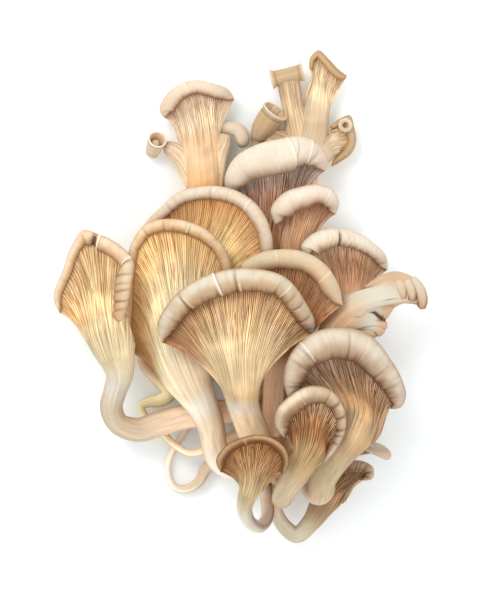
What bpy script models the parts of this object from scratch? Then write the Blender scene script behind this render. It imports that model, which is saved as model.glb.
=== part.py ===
"""Oyster mushroom cluster, lying on a table with its gills up.

The cluster grew from one clump. It lies on the flat face where the clump was cut and on the
backs of its lowest caps. +Y runs from the clump to the highest caps, +Z is up, and the origin
is the middle of the cut face. Each mushroom is one closed solid: a stem that widens into a
sheet of flesh, gills in relief on the upper side of the sheet, and a margin that rolls over
the ends of the gills. The clump has a socket for each stem.
"""

import bpy
import bmesh
import numpy as np
from math import pi, radians

MM = 0.001

# Flesh and margin
SHEET_THICKNESS = 3.6       # flesh of a full-grown cap at its margin
ROLL_STEP = 40.0            # degrees of roll between two rows of its surface
TUCK_RADIUS = 0.45          # how far the roll's edge tucks in, as a share of the roll's radius

# Gills
GILL_HEIGHT = 1.0           # height of a gill's ridge above the flesh
GILL_ROWS = (0.0, 0.36, 0.7, 1.0)       # places along the sheet, neck to margin
GILL_GROWTH = (0.0, 0.7, 1.0, 0.8)      # share of the height at each of them

# Facets
STEM_SIDES = 12             # sides of a stem
THIN_SIDES = 8              # sides of a stem thinner than THIN_RADIUS
THIN_RADIUS = 3.7
MARGIN_COLUMNS = 12         # facets along a full-grown margin
LOBE_COLUMNS = 8            # facets along a small lobe's margin
RING_STEP = 2.4             # length of one ring of a stem, besides the share of its radius
RING_SHARE = 0.8
BORE_WALL = 1.2             # wall of a tube that a margin has rolled into

# Clump
SOCKET_GAP = 0.5            # clearance between a stem and its socket
SOCKET_REACH = 30.0         # length of stem that is cleared, measured from its root
CLUMP_VOXEL = 2.0          # voxel that fuses the lumps
CLUMP_FACETS = 340
CLUMP_COLOUR = (0.68, 0.50, 0.33)

# Each mushroom is a list of lobes. A rim runs from left to right as seen from the gills, and
# a stem runs from the neck to the root. Their points are (x, y, z, radius) in millimetres:
# the rim's radius is that of the roll, and the rim's point is the outermost of the roll.
# cup: depth of the hollow of the gills. turn: degrees that the margin rolls.
# flat: depth of the neck as a share of its width, on an arm of its whole length.
# fanout: how far the gills spread at the neck. wall: thickness round a tube's hollow ends.
# face: side that the gills look to. A lobe without a rim is an arm or a tube along its points,
# and bore is the depth of the hollow at each end of a tube.
MUSHROOMS = {
    # The largest cap, in front of the middle of the cluster.
    "cap_front_large": [
        dict(
            rim=[(-47, 44, 43, 1.6), (-49, 50.5, 43, 3.8), (-43.5, 62.5, 43, 5),
                 (-28.5, 73.5, 45, 5.7), (-8, 77, 47, 5.6), (7.5, 73, 48, 5),
                 (16.5, 62, 46, 4.3), (20.5, 53, 43, 3.3), (19.5, 47.5, 41, 1.4)],
            stem=[(-12, 23.5, 50, 8.2), (-11, 16.5, 47, 7), (-9, 10.5, 43.5, 6.9), (-6.5, 4, 39, 6.9),
                  (-3.5, -3, 33, 6.4), (-2, -10, 27, 5.6)],
            cup=4, gills=28, turn=250),
    ],
    # A small cap at the bottom, whose stem turns back up in a loop.
    "cap_front_small": [
        dict(
            rim=[(-21, -12.5, 62, 0.9), (-23, -7.5, 62, 2.1), (-19.5, -1.5, 62, 2.2),
                 (-12.5, 2.5, 62, 2), (-5.5, 4, 62, 1.9), (2, 2.5, 62, 2), (7.5, -2, 62, 2.1),
                 (9, -8, 62, 1.7), (6, -13.5, 62, 0.8)],
            stem=[(-8.5, -21, 57, 4.6), (-10.5, -28.5, 50, 3.4), (-8.5, -35, 42, 3.1),
                  (-4, -37.5, 34, 2.9), (-0.5, -33.5, 26, 2.9), (-0.5, -26, 21, 3), (-1.5, -20, 18, 3),
                  (-1.5, -13.5, 16, 3)],
            cup=3, gills=18, turn=250),
    ],
    # A small upright cap leaning on the large one at the right.
    "cap_right_small": [
        dict(
            rim=[(7, 2.5, 53, 1.6), (3, 7, 53, 3.1), (3, 14, 54, 4.1), (8.5, 20.5, 56, 4.4),
                 (18.5, 25.5, 57, 4.2), (27.5, 23.5, 57, 3.8), (33, 16, 56, 3),
                 (34, 6.5, 55, 2.4), (30, -2.5, 54, 1.9), (24, -9, 53, 0.9)],
            stem=[(16, -7, 54, 6.2), (11, -15.5, 49, 5.6), (7, -22, 43, 4.9), (6, -25, 36, 4.5),
                  (7, -23, 29, 4.3), (8, -18, 25, 4.1)],
            cup=4, gills=18, turn=250),
    ],
    # The broad cap at the lower right, on a thick bent stem.
    "cap_right_large": [
        dict(
            rim=[(9, 19, 50, 1.8), (6.5, 27, 51, 4.4), (9, 38, 51, 5.8), (17.5, 47.5, 49, 7),
                 (30, 51, 45, 7.4), (44, 48, 41, 7.2), (54, 37, 38, 6.2), (59.5, 27, 36, 5),
                 (61, 20.5, 35, 4.2), (58.8, 15.5, 34.5, 3), (54.5, 14.6, 34, 1.5)],
            stem=[(35.5, 2.5, 42, 9.4), (31, -4.5, 40.5, 7.4), (27, -11, 38.5, 6.4),
                  (24, -16.5, 36, 6.1), (23.5, -21.5, 31, 5.9), (21.5, -22.5, 25, 5.5),
                  (18.5, -18.5, 21, 5.2), (15.5, -13.5, 18, 5)],
            cup=6, gills=24, turn=250),
    ],
    # The broad pale cap left of the middle, on the long thick stem.
    "cap_left_large": [
        dict(
            rim=[(-59.5, 38.5, 19.5, 0.8), (-62.5, 47.5, 20, 1), (-63, 61, 21, 1.5),
                 (-63, 75.5, 22.5, 2), (-61, 88, 24, 2.4), (-55, 96.5, 25, 2.9),
                 (-40.5, 99, 26, 3.1), (-27.5, 94.5, 28, 3), (-20, 87, 29, 2.8),
                 (-16.5, 79, 30, 2.6), (-17, 70, 31, 1.2)],
            stem=[(-32.5, 22.5, 31, 8.8), (-29, 15.5, 31, 7), (-25.5, 7, 30, 6.2),
                  (-24, -2, 27.5, 5.8), (-21.5, -8.5, 24, 5.6), (-16.5, -11.5, 21.5, 5.4),
                  (-11, -10, 19, 5.2), (-7, -8, 18, 5)],
            cup=1.5, gills=26, turn=250, flat=0.7, fanout=0.4),
    ],
    # The angular cap at the far left; its stem turns and runs along the bottom.
    "cap_far_left": [
        dict(
            rim=[(-93, 57, 22, 0.9), (-95.5, 63, 22, 1.7), (-91.5, 76.5, 21, 2.2),
                 (-87.5, 87.5, 20, 2.4), (-83, 94, 20, 3.2), (-74.5, 92, 22, 3.5),
                 (-65, 86.5, 26, 3.3), (-59.5, 80, 31, 3.6), (-60.5, 70, 33, 4.2),
                 (-62, 61, 33, 3.6), (-63.5, 53, 32, 2.4), (-62.5, 47, 31, 1.2)],
            stem=[(-67.5, 38.5, 32, 8.6), (-66, 30.5, 28, 6.3), (-68.5, 21.5, 22, 5.2),
                  (-70, 15, 19.5, 5.1), (-67, 8, 17, 4.9), (-58.5, 5, 15.5, 5.4), (-48, 8, 15, 5.7),
                  (-36.5, 11, 15, 5.7), (-24, 13, 16, 5.4), (-10, 13.5, 17, 4.8)],
            cup=3, gills=20, turn=250, flat=0.6),
    ],
    # A wide cap behind the broad pale one.
    "cap_back_left": [
        dict(
            rim=[(-56.5, 91, 16, 1.2), (-55, 97, 16, 2.3), (-48.5, 104, 16, 2.6),
                 (-40.5, 111, 17, 3), (-28.5, 114, 18, 3.2), (-14.5, 112, 21, 3.3),
                 (-4.5, 105, 24, 3.4), (1, 94.5, 27, 3.3), (2, 85.5, 28, 2.9),
                 (0, 78.5, 28, 1.2)],
            stem=[(-28, 63, 16.5, 6.8), (-23.5, 53, 17, 5.2), (-18, 46, 17.5, 4.8),
                  (-13.5, 40.5, 17, 4.6)],
            cup=3, gills=26, turn=250, flat=0.8),
    ],
    # A cap with a heavy rolled margin near the top.
    "cap_back_centre": [
        dict(
            rim=[(-18.5, 110.5, 13, 2.2), (-19.5, 117, 15, 4.8), (-14.5, 127, 18.5, 6.8),
                 (-6, 132, 21, 7.8), (5.5, 135, 21.5, 8.1), (15.5, 136, 21.5, 7.6),
                 (22.5, 132.5, 21, 6.2), (26.5, 126.5, 20, 4.6), (25.5, 120.5, 19, 2)],
            stem=[(-1, 83, 11, 6.4), (-3, 70, 10.5, 5.2), (-5, 57.5, 10.5, 4.6), (-4.5, 45, 10.5, 4.4)],
            cup=0.5, gills=20, turn=250, flat=0.6),
    ],
    # A small cap right of the last one.
    "cap_upper_right": [
        dict(
            rim=[(3, 96.5, 24, 1.8), (1, 103, 25, 4.2), (6.5, 110.5, 25.5, 5.6),
                 (14.5, 113.5, 26, 5.1), (22.5, 114.5, 26, 4.6), (28.5, 112, 25, 4.1),
                 (31.5, 106.5, 24, 3.4), (30, 101, 23, 1.5)],
            stem=[(11, 84.5, 18, 6.2), (8.5, 70, 16.5, 5), (5, 54, 16.5, 4.6), (1, 40.5, 17, 4.4)],
            cup=1, gills=16, turn=250, flat=0.75),
    ],
    # A cap at the right whose margin drops away.
    "cap_mid_right": [
        dict(
            rim=[(16.5, 82, 31, 1.8), (14.5, 86.5, 31, 4.2), (19, 92, 30, 5),
                 (28.5, 95, 28, 4.5), (38, 93.5, 24, 3.8), (47, 88.5, 19, 3.3),
                 (53, 82, 15, 2.8), (53.5, 76.5, 14, 1.5)],
            stem=[(33.5, 58.5, 15, 6), (29, 43, 12, 5), (20.5, 28, 11, 4.6), (11, 20, 11, 4.4)],
            cup=3, gills=18, turn=250),
    ],
    # A cap just behind the largest one.
    "cap_centre_right": [
        dict(
            rim=[(-11.5, 72.5, 35, 1.6), (-12, 78, 35, 3.4), (-6, 83, 35.5, 4.2),
                 (4.5, 85.5, 35.5, 4.4), (15.5, 84.5, 36, 4.3), (25.5, 78.5, 37, 4.3),
                 (31.5, 68.5, 38, 3.9), (33, 60.5, 39, 1.6)],
            stem=[(7, 43, 31, 7), (3, 29, 31, 4.9), (2, 16, 29, 4.6), (2, 4.5, 25, 4.4),
                  (2, -3.5, 20, 4.2)],
            cup=3, gills=20, turn=250),
    ],
    # The top left mushroom, resting on the surface; two short arms curl at its sides.
    "cap_top_left": [
        dict(
            rim=[(-46.5, 144.5, 8.5, 1.6), (-48.5, 147.5, 8.5, 3.2), (-46, 154.5, 8.5, 3.7),
                 (-40, 159.5, 8.5, 3.4), (-32, 161.5, 8.5, 3.3), (-24.5, 160, 8.5, 3.4),
                 (-18, 157.5, 8.5, 3.1), (-15, 153, 8.5, 1.4)],
            stem=[(-30, 130.5, 7.5, 9), (-29, 119, 7.5, 8.8), (-28, 108, 7, 7.2), (-28, 85.5, 5.2, 4.6),
                  (-26, 63, 5.2, 4.5), (-20, 43, 6, 4.5)],
            cup=1.5, gills=16, turn=250, flat=0.7, fanout=0.0),
        # the arm at the left
        dict(
            stem=[(-27.5, 111, 8.3, 6.4), (-34, 120.5, 8.6, 5.6), (-38.5, 126.5, 8.6, 4.6),
                  (-42.5, 130.3, 8.3, 3.6), (-47, 131.5, 7.4, 2.8)],
            flat=0.6, bore=0),
        # its end, curled into a ring
        dict(
            stem=[(-52, 129.3, 3.4, 3), (-51.2, 131.3, 6.5, 3.6), (-50.2, 133.3, 9.6, 4),
                  (-49.5, 134.8, 12, 4.1)],
            bore=5),
        # the arm at the right
        dict(
            stem=[(-26.5, 111, 8.3, 6.6), (-24.3, 121, 8.6, 5.3), (-22.5, 128, 8.6, 4.3),
                  (-20.3, 133.5, 8.6, 3.7), (-19, 138, 8.6, 2.9)],
            flat=0.65, bore=0),
        # its margin, curled over
        dict(
            stem=[(-21, 137.6, 8.6, 2.2), (-17, 140.2, 8.8, 2.9), (-12.8, 138.6, 9, 3.2),
                  (-11.4, 134.8, 9, 3.1), (-13.3, 132, 8.6, 2.5)],
            bore=3),
    ],
    # The top right mushroom, resting on the surface, split into four lobes.
    "cap_top_right": [
        dict(
            rim=[(18.5, 166.5, 8.5, 1), (19.2, 172.3, 8.5, 1.4), (22.5, 175, 8.5, 1.8), (27.3, 171, 9, 2.1),
                 (31.5, 166.5, 9, 2.1), (35.5, 163.5, 9, 1.4)],
            stem=[(21.5, 147.5, 7.5, 6), (19.5, 135, 7.5, 6.8), (16.5, 124, 7, 7), (14.5, 101, 5.4, 5),
                  (11.5, 81, 5.2, 4.6), (8, 61, 5.2, 4.4), (3.5, 43, 5.6, 4.4)],
            cup=1, gills=10, turn=230, flat=0.65, fanout=0.0),
        # the upper lobe
        dict(
            stem=[(15.5, 121.5, 7.8, 5.6), (13.8, 135, 8.2, 5.4), (11.5, 147.5, 8.4, 4.8),
                  (10, 156, 8.6, 5), (9, 163, 8.8, 5)],
            flat=0.55, bore=0),
        # its margin, rolled into a tube
        dict(
            stem=[(1.6, 161.8, 9, 4.2), (4, 162.4, 9, 3.6), (9, 163.6, 9, 3.5), (13, 164.6, 9, 3.7),
                  (15.6, 165.2, 9, 4)],
            bore=3.5),
        # the lobe rolled like a leaf
        dict(
            stem=[(-5.2, 132.2, 7.3, 1.6), (-4.6, 135, 7.5, 3.4), (-2.8, 138.8, 8.2, 4.9),
                  (0.2, 143.5, 9.6, 5.6), (3.2, 147.6, 11.4, 5.9)],
            bore=7),
        # the arm at the left
        dict(
            stem=[(16, 121.5, 7.8, 5.6), (10.5, 129.5, 8.2, 5.8), (4, 134.5, 8, 5.2),
                  (-3, 137, 7.6, 3.4)],
            flat=0.6, bore=0),
        # the low lobe at the right
        dict(
            rim=[(27.5, 141, 8, 1.2), (32.4, 144.5, 8, 1.8), (36.5, 146, 8, 2.3), (38.8, 140, 8, 2.4),
                 (39.6, 133.9, 7.5, 2.4), (37.4, 128.7, 7, 2.2), (33.5, 125.6, 7, 1.8),
                 (28.5, 122.8, 7, 1)],
            stem=[(27, 131.5, 7, 5), (22.5, 127.5, 7, 5.2), (17, 121.5, 7, 5.2)],
            cup=0.5, gills=10, turn=225, flat=0.7, fanout=0),
        # its corner, curled into a ring
        dict(
            stem=[(35.4, 141.9, 6.5, 2.4), (34.9, 141.5, 9, 3), (34.5, 141.2, 11.5, 3.1)],
            bore=2.5, wall=2),
    ],
    # A torn cap at the right that shows its skin, not its gills.
    "cap_right_back_view": [
        dict(
            rim=[(40.5, 46.5, 29.5, 1.2), (45, 46, 30.5, 2), (49.8, 46.8, 31, 2.2), (52.8, 50.6, 31, 2.2),
                 (53.2, 54.8, 31, 2.2), (55.5, 58.6, 31, 2.4), (59.5, 61.3, 31, 2.6), (64, 61.2, 31, 2.6),
                 (68, 60.6, 30.5, 2.8), (70, 65.5, 31, 3.2), (67, 71, 31, 3.3), (62, 74.5, 31, 3.1),
                 (56, 75.7, 31, 2.9), (50, 74, 31, 2.5), (42.5, 69, 30.5, 1.4)],
            stem=[(34.5, 55, 29, 7.4), (28.5, 48, 26.5, 6.6), (25, 37, 24, 5.2), (21, 22.5, 22, 4.6),
                  (17, 10, 20, 4.6)],
            cup=2, gills=16, turn=160, flat=0.8, fanout=0.45, face=(0, 0, -1)),
        # three folds where its margin hangs
        dict(stem=[(57.2, 71, 32.8, 2.2), (59.3, 66.5, 33.2, 2.5), (59.8, 62.7, 32.8, 2)], bore=0),
        dict(stem=[(61, 71, 33, 1.9), (63.5, 66.5, 33.6, 2.2), (63.8, 62.2, 33.2, 1.8)], bore=0),
        dict(stem=[(64.2, 71, 32.3, 2), (67.6, 66.5, 32.9, 2.4), (68.3, 61.8, 32.3, 2.2),
                   (67.5, 58.8, 31.6, 1.6)], bore=0),
    ],
    # A small cap at the lower right on a stem that loops.
    "cap_low_right": [
        dict(
            rim=[(20, -24.5, 11.5, 1), (21.5, -18.5, 12, 1.8), (25.5, -13.5, 14, 2.4),
                 (31, -10.5, 17, 3.2), (37, -8.5, 20, 3.8), (43, -9, 21.5, 3.8), (47, -12, 22, 3.2),
                 (46.5, -16.5, 22, 2.2), (41.5, -17.5, 21, 1)],
            stem=[(23, -30.5, 15, 5.4), (19, -36.5, 14, 4.2), (12.5, -42, 13, 3.7), (7, -38, 12, 3.4),
                  (4, -32.5, 12, 3), (3, -25, 12, 3), (3.5, -18, 12, 3.2), (4, -13.5, 12, 3.2)],
            cup=1.5, gills=14, turn=200),
    ],
    # A thin young cap behind it, seen from its edge.
    "cap_low_right_sprout": [
        dict(
            rim=[(43, -3.5, 28, 0.9), (49.5, -5.5, 29, 1.5), (54.5, -7, 26, 1.9),
                 (54.5, -5.5, 22, 1.9), (49, -2, 19, 1.7), (43, -1.5, 19, 0.9)],
            stem=[(38.5, -3.5, 24, 2.7), (33.5, -3, 23, 2.5), (25.5, -3, 20, 2.5), (16, -3.5, 18, 2.6)],
            cup=0.8, gills=8, turn=180, face=(-0.15, -0.95, -0.25)),
    ],
    # A young mushroom behind the left caps, on a thin winding stem.
    "sprout_left": [
        dict(
            rim=[(-57.5, 53, 4, 1), (-58, 60.5, 4, 1.8), (-53.5, 65.5, 4, 2.2), (-46.5, 66.5, 4, 2.2),
                 (-40.5, 62.5, 4, 2), (-39.5, 55.5, 4, 1)],
            stem=[(-53, 46, 5, 3.4), (-56, 40.5, 5, 2.8), (-56, 35, 5, 2.5), (-52, 29.5, 5, 2.6),
                  (-47, 25, 5, 2.7), (-44.5, 20.5, 5, 3.2), (-48.5, 18, 5, 3), (-54, 17, 5, 2.3),
                  (-57, 15.5, 5, 1.8), (-55.5, 11.5, 5, 1.6), (-51, 7.5, 5.5, 1.6), (-46, 2, 6.5, 1.6),
                  (-41, -2.5, 8, 1.6), (-35, -5.5, 9, 1.6), (-29, -4.5, 10, 1.8),
                  (-20, 0.5, 11.5, 2.2), (-8, 4.5, 12, 2.4)],
            cup=1, gills=10, turn=200),
    ],
    # Another young one, whose thin stem makes a wide loop.
    "sprout_low_left": [
        dict(
            rim=[(-39.5, 32.5, 4, 1), (-42, 39.5, 4, 1.7), (-37, 46, 4, 2.1), (-29.5, 47, 4, 2.1),
                 (-25, 42.5, 4, 1.8), (-25, 35, 4, 1)],
            stem=[(-32, 26, 4.5, 3), (-32.5, 17, 3.5, 2.2), (-35, 8.5, 3, 1.8), (-39, 1.5, 3, 1.6),
                  (-43, -5, 3, 1.6), (-45, -11, 3, 1.6), (-44.5, -17, 3, 1.6), (-42, -21, 3, 1.8),
                  (-37, -22, 3, 2), (-31.5, -19, 4, 2.3), (-27.5, -12.5, 5, 2.6), (-19, -7, 6.5, 3),
                  (-8, -2.5, 7.5, 3)],
            cup=1, gills=10, turn=200),
    ],
}

COLOURS = {
    "cap_front_large": (0.80, 0.62, 0.40),
    "cap_front_small": (0.60, 0.44, 0.28),
    "cap_right_small": (0.66, 0.50, 0.33),
    "cap_right_large": (0.68, 0.51, 0.35),
    "cap_left_large": (0.86, 0.68, 0.42),
    "cap_far_left": (0.84, 0.62, 0.34),
    "cap_back_left": (0.80, 0.53, 0.25),
    "cap_back_centre": (0.62, 0.46, 0.35),
    "cap_upper_right": (0.62, 0.45, 0.34),
    "cap_mid_right": (0.60, 0.44, 0.33),
    "cap_centre_right": (0.58, 0.43, 0.31),
    "cap_top_left": (0.82, 0.62, 0.40),
    "cap_top_right": (0.70, 0.52, 0.32),
    "cap_right_back_view": (0.82, 0.65, 0.50),
    "cap_low_right": (0.66, 0.50, 0.34),
    "cap_low_right_sprout": (0.64, 0.49, 0.36),
    "sprout_left": (0.80, 0.66, 0.52),
    "sprout_low_left": (0.84, 0.72, 0.58),
}

# Lumps that make the clump: (x, y, z) of the middle and the three radii, in millimetres
CLUMP_LUMPS = [
    ((1, -3, 13), (15, 14, 17)),
    ((-2, -5, 22), (9, 9, 11)),
    ((9, -14, 18), (10, 8, 12)),
    ((13, 6, 13), (10, 12, 14)),
    ((7, 18, 11), (8, 9, 9)),
    ((-6, 12, 13), (9, 9, 11)),
    ((-2, 24, 10), (10, 15, 11)),
    ((-7, 38, 9), (18, 9, 14)),
]


# ---------------------------------------------------------------- curves

def unit(vectors):
    """Vectors scaled to length one."""
    return vectors / np.maximum(np.linalg.norm(vectors, axis=-1, keepdims=True), 1e-12)


def smooth(x):
    """Smooth step from 0 to 1."""
    x = np.clip(x, 0, 1)
    return x * x * (3 - 2 * x)


def spline(points, places):
    """Smooth curve through the points, read at shares of its length."""
    p = np.asarray(points, float)
    chord = np.r_[0, np.cumsum(np.linalg.norm(np.diff(p[:, :3], axis=0), axis=1))]
    k = chord / chord[-1]
    step = np.diff(k)[:, None]
    slope = np.diff(p, axis=0) / step
    m = np.empty_like(p)
    m[1:-1] = (slope[1:] * step[:-1] + slope[:-1] * step[1:]) / (step[1:] + step[:-1])
    m[0] = 1.5 * slope[0] - 0.5 * m[1]
    m[-1] = 1.5 * slope[-1] - 0.5 * m[-2]
    t = np.asarray(places, float)
    i = np.clip(np.searchsorted(k, t, side="right") - 1, 0, len(k) - 2)
    h = (k[i + 1] - k[i])[:, None]
    s = (t - k[i])[:, None] / h
    return ((2 * s**3 - 3 * s**2 + 1) * p[i] + (s**3 - 2 * s**2 + s) * h * m[i]
            + (3 * s**2 - 2 * s**3) * p[i + 1] + (s**3 - s**2) * h * m[i + 1])


def stem_frames(lobe, places):
    """Middle, radius, direction, front and side of the stem at shares of its length."""
    fine = np.linspace(0, 1, 97)
    p = spline(lobe["stem"], fine)
    middle = p[:, :3]
    along = unit(np.gradient(middle, axis=0))
    front = np.empty_like(middle)
    f = unit(np.asarray(lobe.get("face", (0, 0, 1)), float))
    for i, d in enumerate(along):
        f = unit(f - d * (f @ d))
        front[i] = f
    side = np.cross(front, along)
    curves = (middle, p[:, 3:4], along, front, side)
    return [np.stack([np.interp(places, fine, c[:, j]) for j in range(c.shape[1])], 1) for c in curves]


# ---------------------------------------------------------------- one lobe

def margin(lobe, u):
    """Roll's middle and radius, outward and gill-side axes, and the sheet's end at the shares u."""
    face = unit(np.asarray(lobe.get("face", (0, 0, 1)), float))
    rim = spline(lobe["rim"], u)
    ahead = spline(lobe["rim"], np.clip(u + 1e-3, 0, 1))[:, :3]
    behind = spline(lobe["rim"], np.clip(u - 1e-3, 0, 1))[:, :3]
    run = unit(ahead - behind)
    point, radius = rim[:, :3], np.maximum(rim[:, 3:4], 0.5)
    neck = np.asarray(lobe["stem"][0][:3], float)
    away = point - neck
    away = unit(away - face * (away @ face)[:, None])
    out = unit(0.75 * unit(np.cross(face, run)) + 0.25 * away)
    gill_side = unit(np.cross(run, out))
    thickness = np.minimum(SHEET_THICKNESS, 0.85 * radius)
    middle = point - out * radius
    end = middle - gill_side * (radius - thickness / 2)
    return middle, radius, out, gill_side, end, thickness


def sheet(lobe, u, v):
    """Middle surface of the sheet: u from left to right, v from the neck to the margin."""
    face = unit(np.asarray(lobe.get("face", (0, 0, 1)), float))
    middle, radius, out, gill_side, end, thickness = margin(lobe, u)
    c, r, along, front, side = [a[0] for a in stem_frames(lobe, np.array([0.0]))]
    start = c + side * (r[0] * np.cos(pi * (1 - u)))[:, None]
    span = end - start
    length = np.linalg.norm(span, axis=1, keepdims=True)
    straight = unit(span)
    spread = (2 * u - 1)[:, None] * lobe.get("fanout", 0.35)
    rise = unit(-along + side * spread)
    agree = np.clip(np.sum(rise * straight, axis=1, keepdims=True), 0.12, 1)
    near = start + rise * length * 0.38 * agree
    far = end - unit(0.45 * out + 0.55 * straight) * length * 0.3
    v = np.asarray(v, float).reshape(-1, 1)
    bezier = ((1 - v)**3 * start + 3 * (1 - v)**2 * v * near + 3 * (1 - v) * v**2 * far + v**3 * end)
    bow = (1 - (2 * u - 1)**2)[:, None]
    return bezier - face * (lobe["cup"] * 16 * v**2 * (1 - v)**2) * bow


def sheet_normal(lobe, u, v):
    """Gill-side normal of the sheet, which starts as the stem's front at the neck."""
    e = 0.004
    lo_u, hi_u = np.clip(u - e, 0, 1), np.clip(u + e, 0, 1)
    lo_v, hi_v = max(v - e, 0), min(v + e, 1)
    across = sheet(lobe, hi_u, v) - sheet(lobe, lo_u, v)
    up = sheet(lobe, u, hi_v) - sheet(lobe, u, lo_v)
    front = stem_frames(lobe, np.array([0.0]))[3]
    w = smooth(v / 0.25)
    return unit(front * (1 - w) + unit(np.cross(across, up)) * w)


def half_thickness(lobe, u, v):
    """Half the sheet's thickness: the stem's section at the neck, thin at its two side edges."""
    thickness = margin(lobe, u)[5][:, 0]
    edge = np.sqrt(np.clip(1 - np.abs(2 * u - 1)**5, 0, 1))
    stem = np.sin(pi * u) * lobe["stem"][0][3] * lobe.get("flat", 1.0)
    w = smooth(v / 0.75)
    return (stem * (1 - w) + edge * thickness / 2 * w)[:, None]


def stem_sides(lobe):
    """Sides of the lobe's stem."""
    return THIN_SIDES if min(p[3] for p in lobe["stem"]) < THIN_RADIUS else STEM_SIDES


def ring_places(lobe):
    """Places of the stem's rings, root to neck: close together where the stem is thin."""
    fine = np.linspace(1, 0, 97)
    p = spline(lobe["stem"], fine)
    length = np.linalg.norm(np.diff(p[:, :3], axis=0), axis=1)
    radius = (p[1:, 3] + p[:-1, 3]) / 2
    count = np.r_[0, np.cumsum(length / (RING_STEP + RING_SHARE * radius))]
    rings = max(3, int(round(count[-1])) + 1)
    return np.interp(np.linspace(0, count[-1], rings), count, fine)


def depth_share(lobe, places):
    """Depth of the stem as a share of its width: flat at the neck, round further down."""
    flat = lobe.get("flat", 1.0)
    if "rim" not in lobe:
        return np.full((len(places), 1), flat)
    return (flat + (1 - flat) * smooth(np.asarray(places) / 0.3))[:, None]


def lobe_rows(lobe):
    """Points of the stem's rings, of the gilled and plain sides of the sheet, and of the roll."""
    small = lobe["gills"] <= 12
    ring_u = (1 - np.cos(np.linspace(0, pi, stem_sides(lobe) // 2 + 1))) / 2
    back_u = np.linspace(0, 1, (LOBE_COLUMNS if small else MARGIN_COLUMNS) + 1)
    gill_u = np.linspace(0, 1, 2 * lobe["gills"] + 1)
    ridge = np.where(np.arange(len(gill_u)) % 2 == 1, GILL_HEIGHT, 0.0)[:, None]

    places = ring_places(lobe)
    c, r, along, front, side = stem_frames(lobe, places)
    angle = pi * (1 - ring_u)
    across = c[:, None] + side[:, None] * (r * np.cos(angle))[:, :, None]
    deep = front[:, None] * (r * depth_share(lobe, places) * np.sin(angle))[:, :, None]
    stem_front = [(ring_u, row) for row in (across + deep)]
    stem_back = [(ring_u, row) for row in (across - deep)]

    front_rows, back_rows = list(stem_front), list(stem_back)
    for v, growth in list(zip(GILL_ROWS, GILL_GROWTH))[1:]:
        height = half_thickness(lobe, gill_u, v) + ridge * growth
        front_rows.append((gill_u, sheet(lobe, gill_u, v) + sheet_normal(lobe, gill_u, v) * height))
        back_rows.append((back_u, sheet(lobe, back_u, v)
                          - sheet_normal(lobe, back_u, v) * half_thickness(lobe, back_u, v)))

    middle, radius, out, gill_side = margin(lobe, back_u)[:4]
    turn = radians(lobe["turn"])
    steps = int(round(lobe["turn"] / ROLL_STEP))
    for i in range(1, steps + 1):
        phi = turn * i / steps
        back_rows.append((back_u, middle + radius * (out * np.sin(phi) - gill_side * np.cos(phi))))
    tuck = turn + radians(12)
    back_rows.append((back_u, middle + radius * TUCK_RADIUS
                      * (out * np.sin(tuck) - gill_side * np.cos(tuck))))
    return front_rows, back_rows, len(stem_front)


# ---------------------------------------------------------------- mesh

def strip(faces, row_a, u_a, row_b, u_b):
    """Triangles between two rows that may have different numbers of points."""
    i = j = 0
    while i < len(row_a) - 1 or j < len(row_b) - 1:
        next_a = u_a[i + 1] + u_a[i] if i < len(row_a) - 1 else 9
        next_b = u_b[j + 1] + u_b[j] if j < len(row_b) - 1 else 9
        if next_a <= next_b:
            face = (row_a[i], row_a[i + 1], row_b[j])
            i += 1
        else:
            face = (row_a[i], row_b[j + 1], row_b[j])
            j += 1
        if len(set(face)) == 3:
            faces.append(face)


def lobe_mesh(lobe):
    """Closed mesh of one lobe: a list of points in millimetres and a list of faces."""
    front, back, rings = lobe_rows(lobe)
    sheet_rows = len(front)
    points, faces = [], []

    def add(rows, shared):
        numbered = []
        for k, (u, row) in enumerate(rows):
            ids = []
            for j, p in enumerate(row):
                if shared and k < sheet_rows and j in (0, len(row) - 1):
                    ids.append(shared[k][1][0 if j == 0 else -1])
                else:
                    ids.append(len(points))
                    points.append(p)
            numbered.append((u, ids))
        return numbered

    front_ids = add(front, None)
    back_ids = add(back, front_ids)
    for (u_a, a), (u_b, b) in zip(front_ids, front_ids[1:]):
        strip(faces, a, u_a, b, u_b)
    for (u_a, a), (u_b, b) in zip(back_ids, back_ids[1:]):
        strip(faces, b, u_b, a, u_a)
    strip(faces, front_ids[-1][1], front_ids[-1][0], back_ids[-1][1], back_ids[-1][0])
    roll = [ids for u, ids in back_ids[sheet_rows - 1:]]
    faces.append(tuple(ids[0] for ids in roll))
    faces.append(tuple(ids[-1] for ids in reversed(roll)))
    root_front, root_back = front_ids[0][1], back_ids[0][1]
    faces.append(tuple(root_front[::-1]) + tuple(root_back[1:-1]))
    return points, faces


def tube_rings(lobe, places, swell=0.0):
    """Rings of points round the lobe's stem at the given places."""
    sides = stem_sides(lobe)
    c, r, along, front, side = stem_frames(lobe, places)
    angles = np.arange(sides) * 2 * pi / sides
    wide = (r + swell) * np.cos(angles)
    deep = (r * depth_share(lobe, places) + swell) * np.sin(angles)
    return c[:, None] + side[:, None] * wide[:, :, None] + front[:, None] * deep[:, :, None], along, r


def ring_faces(rings, sides):
    """Faces of a closed loft through rings that follow one another in a list of points."""
    faces = []
    for i in range(rings - 1):
        for j in range(sides):
            a, b = i * sides + j, i * sides + (j + 1) % sides
            faces.append((a, b, b + sides, a + sides))
    last = (rings - 1) * sides
    faces.append(tuple(range(sides)))
    faces.append(tuple(last + j for j in range(sides)))
    return faces


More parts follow.
